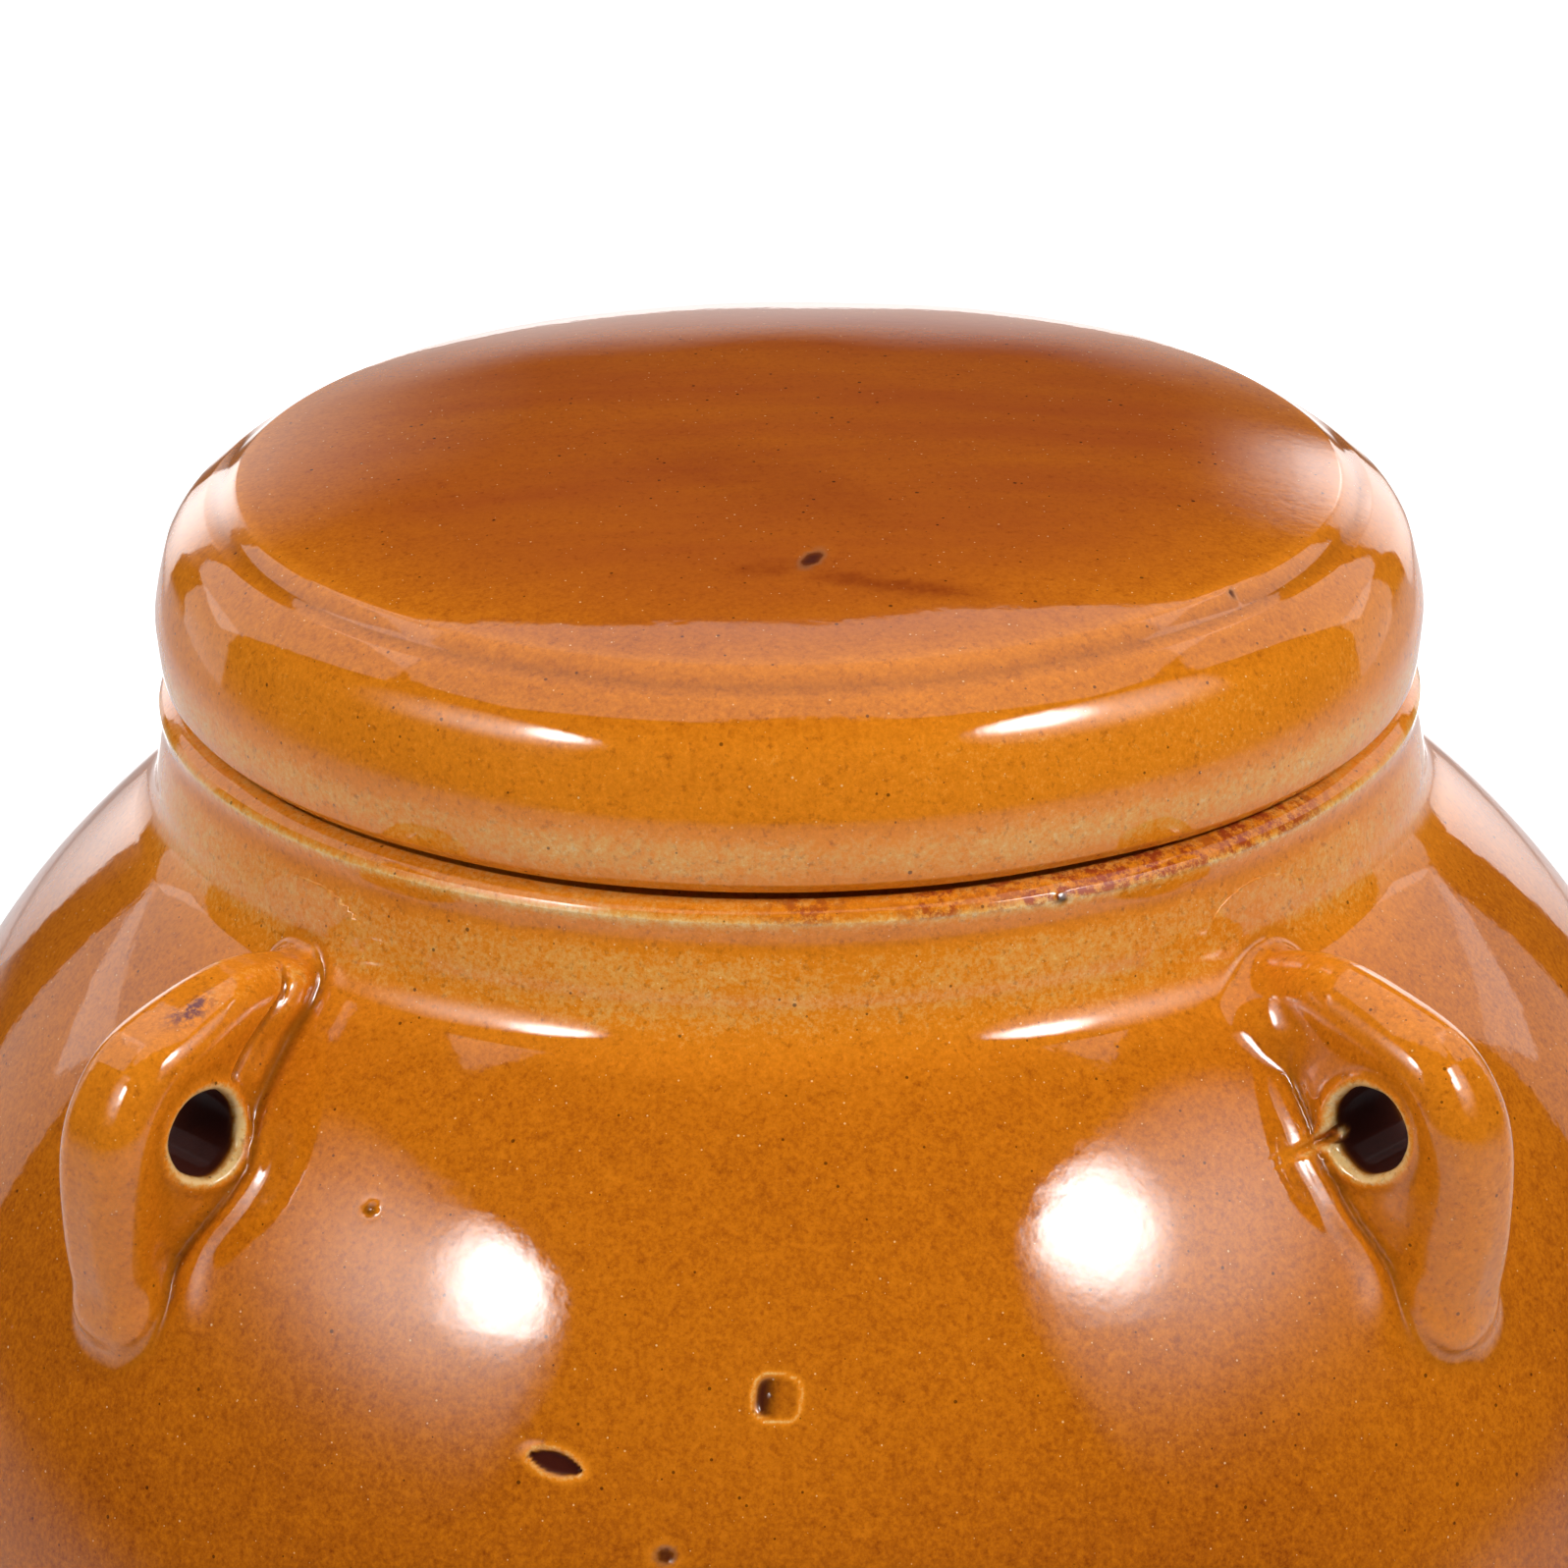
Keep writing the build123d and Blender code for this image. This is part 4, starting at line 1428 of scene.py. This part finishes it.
@dataclass(frozen=True)
class PaleTable:
    """Frosted white acrylic of a studio table lit from below, which gives an even white ground.

    It glows only where the camera sees it behind the jar. Eye is how far the camera stands in
    front of the jar's axis, spread the tangents of the bearings from it between which the glow
    fades out at the sides, and start the distances behind the axis between which it comes up.
    """

    colour: str = "#E2E2E6"
    half_width: float = 4.0
    front_edge: float = 1.45
    glow: float = 1.05
    eye: float = 0.553
    spread: tuple[float, float] = (0.174, 0.215)
    start: tuple[float, float] = (0.12, 0.30)

    def build(self) -> bpy.types.Object:
        """Makes the table.

        Returns:
            The table.
        """
        h = self.half_width
        mesh = bpy.data.meshes.new("studio_table")
        f = self.front_edge
        mesh.from_pydata([(-h, -f, 0), (h, -f, 0), (h, h, 0), (-h, h, 0)], [], [(0, 1, 2, 3)])
        material = bpy.data.materials.new("frosted_white_acrylic")
        material.use_nodes = True
        shader = material.node_tree.nodes["Principled BSDF"]
        shader.inputs["Base Color"].default_value = linear(self.colour)
        shader.inputs["Roughness"].default_value = 0.7
        shader.inputs["Emission Color"].default_value = (1.0, 1.0, 1.0, 1.0)
        tree = material.node_tree
        place = add_node(tree, "NewGeometry", out="Position")
        x = add_node(tree, "SeparateXYZ", {0: place}, "X")
        y = x.node.outputs["Y"]
        deep = add_node(tree, "Math", {0: y, 1: self.eye}, operation="ADD")
        turn = add_node(tree, "Math", {0: x, 1: deep}, operation="DIVIDE")
        side = add_node(tree, "Math", {0: turn}, operation="ABSOLUTE")
        lit = [
            add_node(tree, "MapRange", {
                "Value": value, "From Min": low, "From Max": high, "To Min": start, "To Max": end,
            }, "Result", interpolation_type="SMOOTHSTEP")
            for value, (low, high), start, end in (
                (side, self.spread, 1.0, 0.0), (y, self.start, 0.0, self.glow),
            )
        ]
        shine = add_node(tree, "Math", {0: lit[0], 1: lit[1]}, operation="MULTIPLY")
        tree.links.new(shine, shader.inputs["Emission Strength"])
        mesh.materials.append(material)
        table = bpy.data.objects.new("studio_table", mesh)
        bpy.context.scene.collection.objects.link(table)
        return table


@dataclass(frozen=True)
class Panel:
    """A soft light, placed by its direction and distance from the lid.

    Angles are in degrees and sizes in metres. The core is its brightest place, as shares of the
    width and height, and the haze a weaker glow round it. From the share called fade it grows
    dim towards its edge.
    """

    name: str
    azimuth: float
    elevation: float
    distance: float
    width: float
    height: float
    glow: float
    core: tuple[float, float] = (0.5, 0.5)
    core_size: float | None = None
    haze: float = 0.0
    haze_size: tuple[float, float] = (0.42, 0.22)
    haze_shift: tuple[float, float] = (0.0, 0.0)
    fade: float = 0.92
    turn: float = 0.0

    def build(self, aim: Vector) -> bpy.types.Object:
        """Makes the light.

        Args:
            aim: the point that it faces.

        Returns:
            The light's object.
        """
        a, e = radians(self.azimuth), radians(self.elevation)
        back = Vector((sin(a) * cos(e), cos(a) * cos(e), sin(e)))
        light = bpy.data.lights.new(self.name, "AREA")
        light.shape, light.size, light.size_y = "RECTANGLE", self.width, self.height
        light.energy = self.glow * pi * self.width * self.height
        if self.core_size:
            self.soften(light)
        made = bpy.data.objects.new(self.name, light)
        made.location = aim + back * self.distance
        made.rotation_mode = "QUATERNION"
        made.rotation_quaternion = back.to_track_quat("Z", "Y") @ Quaternion(
            (0.0, 0.0, 1.0), radians(self.turn),
        )
        bpy.context.scene.collection.objects.link(made)
        return made

    def soften(self, light: bpy.types.Light) -> None:
        """Makes the light brightest at its core, as behind a diffuser, and weaker away from it.

        Args:
            light: the light's data.
        """
        light.use_nodes = True
        tree = light.node_tree
        at = add_node(tree, "NewGeometry", out="Parametric")
        off = at
        for operation, size in (("SUBTRACT", self.core), ("MULTIPLY", (self.width, self.height))):
            off = add_node(tree, "VectorMath", {0: off, 1: (*size, 0.0)}, operation=operation)
        veil = off
        for operation, size in (
            ("SUBTRACT", self.haze_shift), ("MULTIPLY", (1 / self.haze_size[0], 1 / self.haze_size[1])),
        ):
            veil = add_node(tree, "VectorMath", {0: veil, 1: (*size, 0.0)}, operation=operation)
        side = at
        for operation, size in (("SUBTRACT", 0.5), ("MULTIPLY", 2.0)):
            side = add_node(tree, "VectorMath", {0: side, 1: (size, size, 0.0)}, operation=operation)
        side = add_node(tree, "VectorMath", {0: side}, operation="ABSOLUTE")
        square = add_node(tree, "VectorMath", {0: side, 1: side}, operation="MULTIPLY")
        far, wide, corner = (
            add_node(tree, "VectorMath", {0: a, 1: b}, "Value", operation="DOT_PRODUCT")
            for a, b in ((off, off), (veil, veil), (square, side))
        )
        parts = []
        for value, steps in (
            (
                far,
                (("MULTIPLY", 1 / self.core_size**2), ("POWER", 1.6), ("MULTIPLY", -1.0), ("EXPONENT", 0.0)),
            ),
            (wide, (("MULTIPLY", -1.0), ("EXPONENT", 0.0), ("MULTIPLY", self.haze))),
        ):
            for operation, number in steps:
                value = add_node(tree, "Math", {0: value, 1: number}, operation=operation)
            parts.append(value)
        inside = add_node(tree, "MapRange", {
            "Value": corner, "From Min": self.fade, "From Max": 1.04, "To Min": 1.0, "To Max": 0.0,
        }, "Result")
        glow = add_node(tree, "Math", {0: parts[0], 1: parts[1]}, operation="ADD")
        glow = add_node(tree, "Math", {0: glow, 1: inside}, operation="MULTIPLY")
        tree.links.new(glow, tree.nodes["Emission"].inputs["Strength"])


@dataclass(frozen=True)
class Studio:
    """Plain soft studio light round the jar."""

    aim: tuple[float, float, float] = (0.0, 0.0, 0.2)
    room: str = "#2A2A2A"
    panels: tuple[Panel, ...] = (
        Panel(
            "key_left", -120.0, 24.0, 1.0, 0.96, 0.72, 28.6, (0.770, 0.855), 0.125, 0.18, (0.30, 0.18),
            (-0.13, -0.12), 0.62,
        ),
        Panel(
            "key_right", 120.6, 28.0, 1.0, 0.87, 0.80, 32.6, (0.307, 0.822), 0.138, 0.125, (0.36, 0.22),
            (0.18, -0.14), 0.62,
        ),
        Panel("overhead", 0.0, 73.5, 1.1, 1.7, 1.245, 1.06),
        Panel("side_left", -30.0, 5.0, 0.8, 0.24, 0.52, 2.2, (0.5, 0.5), 0.20),
        Panel("side_right", 30.0, 5.0, 0.8, 0.28, 0.52, 2.2, (0.5, 0.5), 0.22),
        Panel("glow_left", -24.0, 12.0, 1.3, 0.80, 0.74, 0.8, (0.5, 0.5), 0.34, fade=0.05),
        Panel("glow_right", 21.0, 17.0, 1.3, 0.50, 0.50, 2.8, (0.5, 0.5), 0.13, fade=0.3),
        Panel("wing_left", -56.0, 3.0, 1.3, 0.40, 0.56, 0.7),
        Panel("wing_right", 56.0, 3.0, 1.3, 0.40, 0.56, 0.6),
        Panel("slope_left", -60.0, 32.0, 1.3, 0.55, 1.05, 1.0, turn=-28.0),
        Panel("slope_right", 60.0, 32.0, 1.3, 0.55, 1.05, 1.0, turn=28.0),
        Panel("backdrop", 0.0, 3.0, 1.5, 1.4, 0.56, 0.7, (0.5, 0.3), 0.36, fade=0.1),
    )

    def build(self) -> None:
        """Makes the lights and the dim room."""
        for panel in self.panels:
            panel.build(Vector(self.aim))
        world = bpy.data.worlds.new("dim_room")
        world.use_nodes = True
        world.node_tree.nodes["Background"].inputs[0].default_value = linear(self.room)
        world.node_tree.nodes["Background"].inputs[1].default_value = 1.0
        bpy.context.scene.world = world
        bpy.context.scene.view_settings.view_transform = "Standard"


@dataclass(frozen=True)
class PhotoCamera:
    """The camera, where the photograph was taken from."""

    distance: float = 0.6
    elevation: float = 22.74
    roll: float = -0.61
    aim: tuple[float, float, float] = (-0.00088, 0.0, 0.19003)
    lens: float = 116.57

    def build(self) -> bpy.types.Object:
        """Makes the camera and gives it to the scene.

        Returns:
            The camera.
        """
        data = bpy.data.cameras.new("photo_camera")
        data.lens, data.sensor_width = self.lens, 36.0
        made = bpy.data.objects.new("photo_camera", data)
        e, roll = radians(self.elevation), radians(self.roll)
        back = Vector((0.0, -cos(e), sin(e)))
        up = Vector((0.0, sin(e), cos(e)))
        side = Vector((1.0, 0.0, 0.0))
        across = side * cos(roll) + up * sin(roll)
        turned = Matrix((across, back.cross(across), back)).transposed()
        made.matrix_world = Matrix.Translation(Vector(self.aim) + back * self.distance) @ turned.to_4x4()
        bpy.context.scene.collection.objects.link(made)
        bpy.context.scene.camera = made
        return made


def main() -> None:
    """Builds the jar's pieces in order, then the table, the lights and the camera."""
    logging.basicConfig(level=logging.INFO, format="%(name)s: %(message)s", stream=sys.stdout, force=True)
    glaze = AmberGlaze().material()
    low_pad = (102.6, 2.6, 160.2)
    wide = (
        (0.0, 5.0), (0.15, 6.5), (0.25, 7.6), (0.35, 8.8), (0.5, 9.8), (0.65, 9.8), (0.76, 8.2), (0.86, 7.6),
        (0.95, 6.2), (1.0, 4.6),
    )
    full = ((0.0, 4.5), (0.15, 6.0), (0.35, 7.6), (0.6, 8.0), (0.8, 5.6), (1.0, 3.6))
    blunt = ((0.0, 3.6), (0.25, 4.6), (0.5, 4.6), (0.8, 4.0), (1.0, 3.0))
    slim = ((0.0, 2.0), (0.3, 2.6), (0.6, 3.0), (1.0, 4.0))
    torn = {
        "working": Working.TORN, "front_foot": wide, "front_ridge": full, "ridge_round": blunt,
        "back_offset": slim, "pad": low_pad, "hollow": 0.5,
    }
    lugs = [
        Lug("lug_front_right", 44.0, **torn),
        Lug("lug_front_left", -44.0, Working.FOLDED),
        Lug("lug_rear_right", 136.0, Working.FOLDED, cell=0.8),
        Lug("lug_rear_left", -136.0, cell=0.8, **torn),
    ]
    Vessel().build(lugs, glaze)
    for lug in lugs:
        lug.clay().piece(lug.name + "_skin", "jar", (lug.name,), glaze)
    OuterLid().build(glaze)
    InnerLid().build(glaze)
    PaleTable().build()
    Studio().build()
    PhotoCamera().build()


if __name__ == "__main__":
    main()
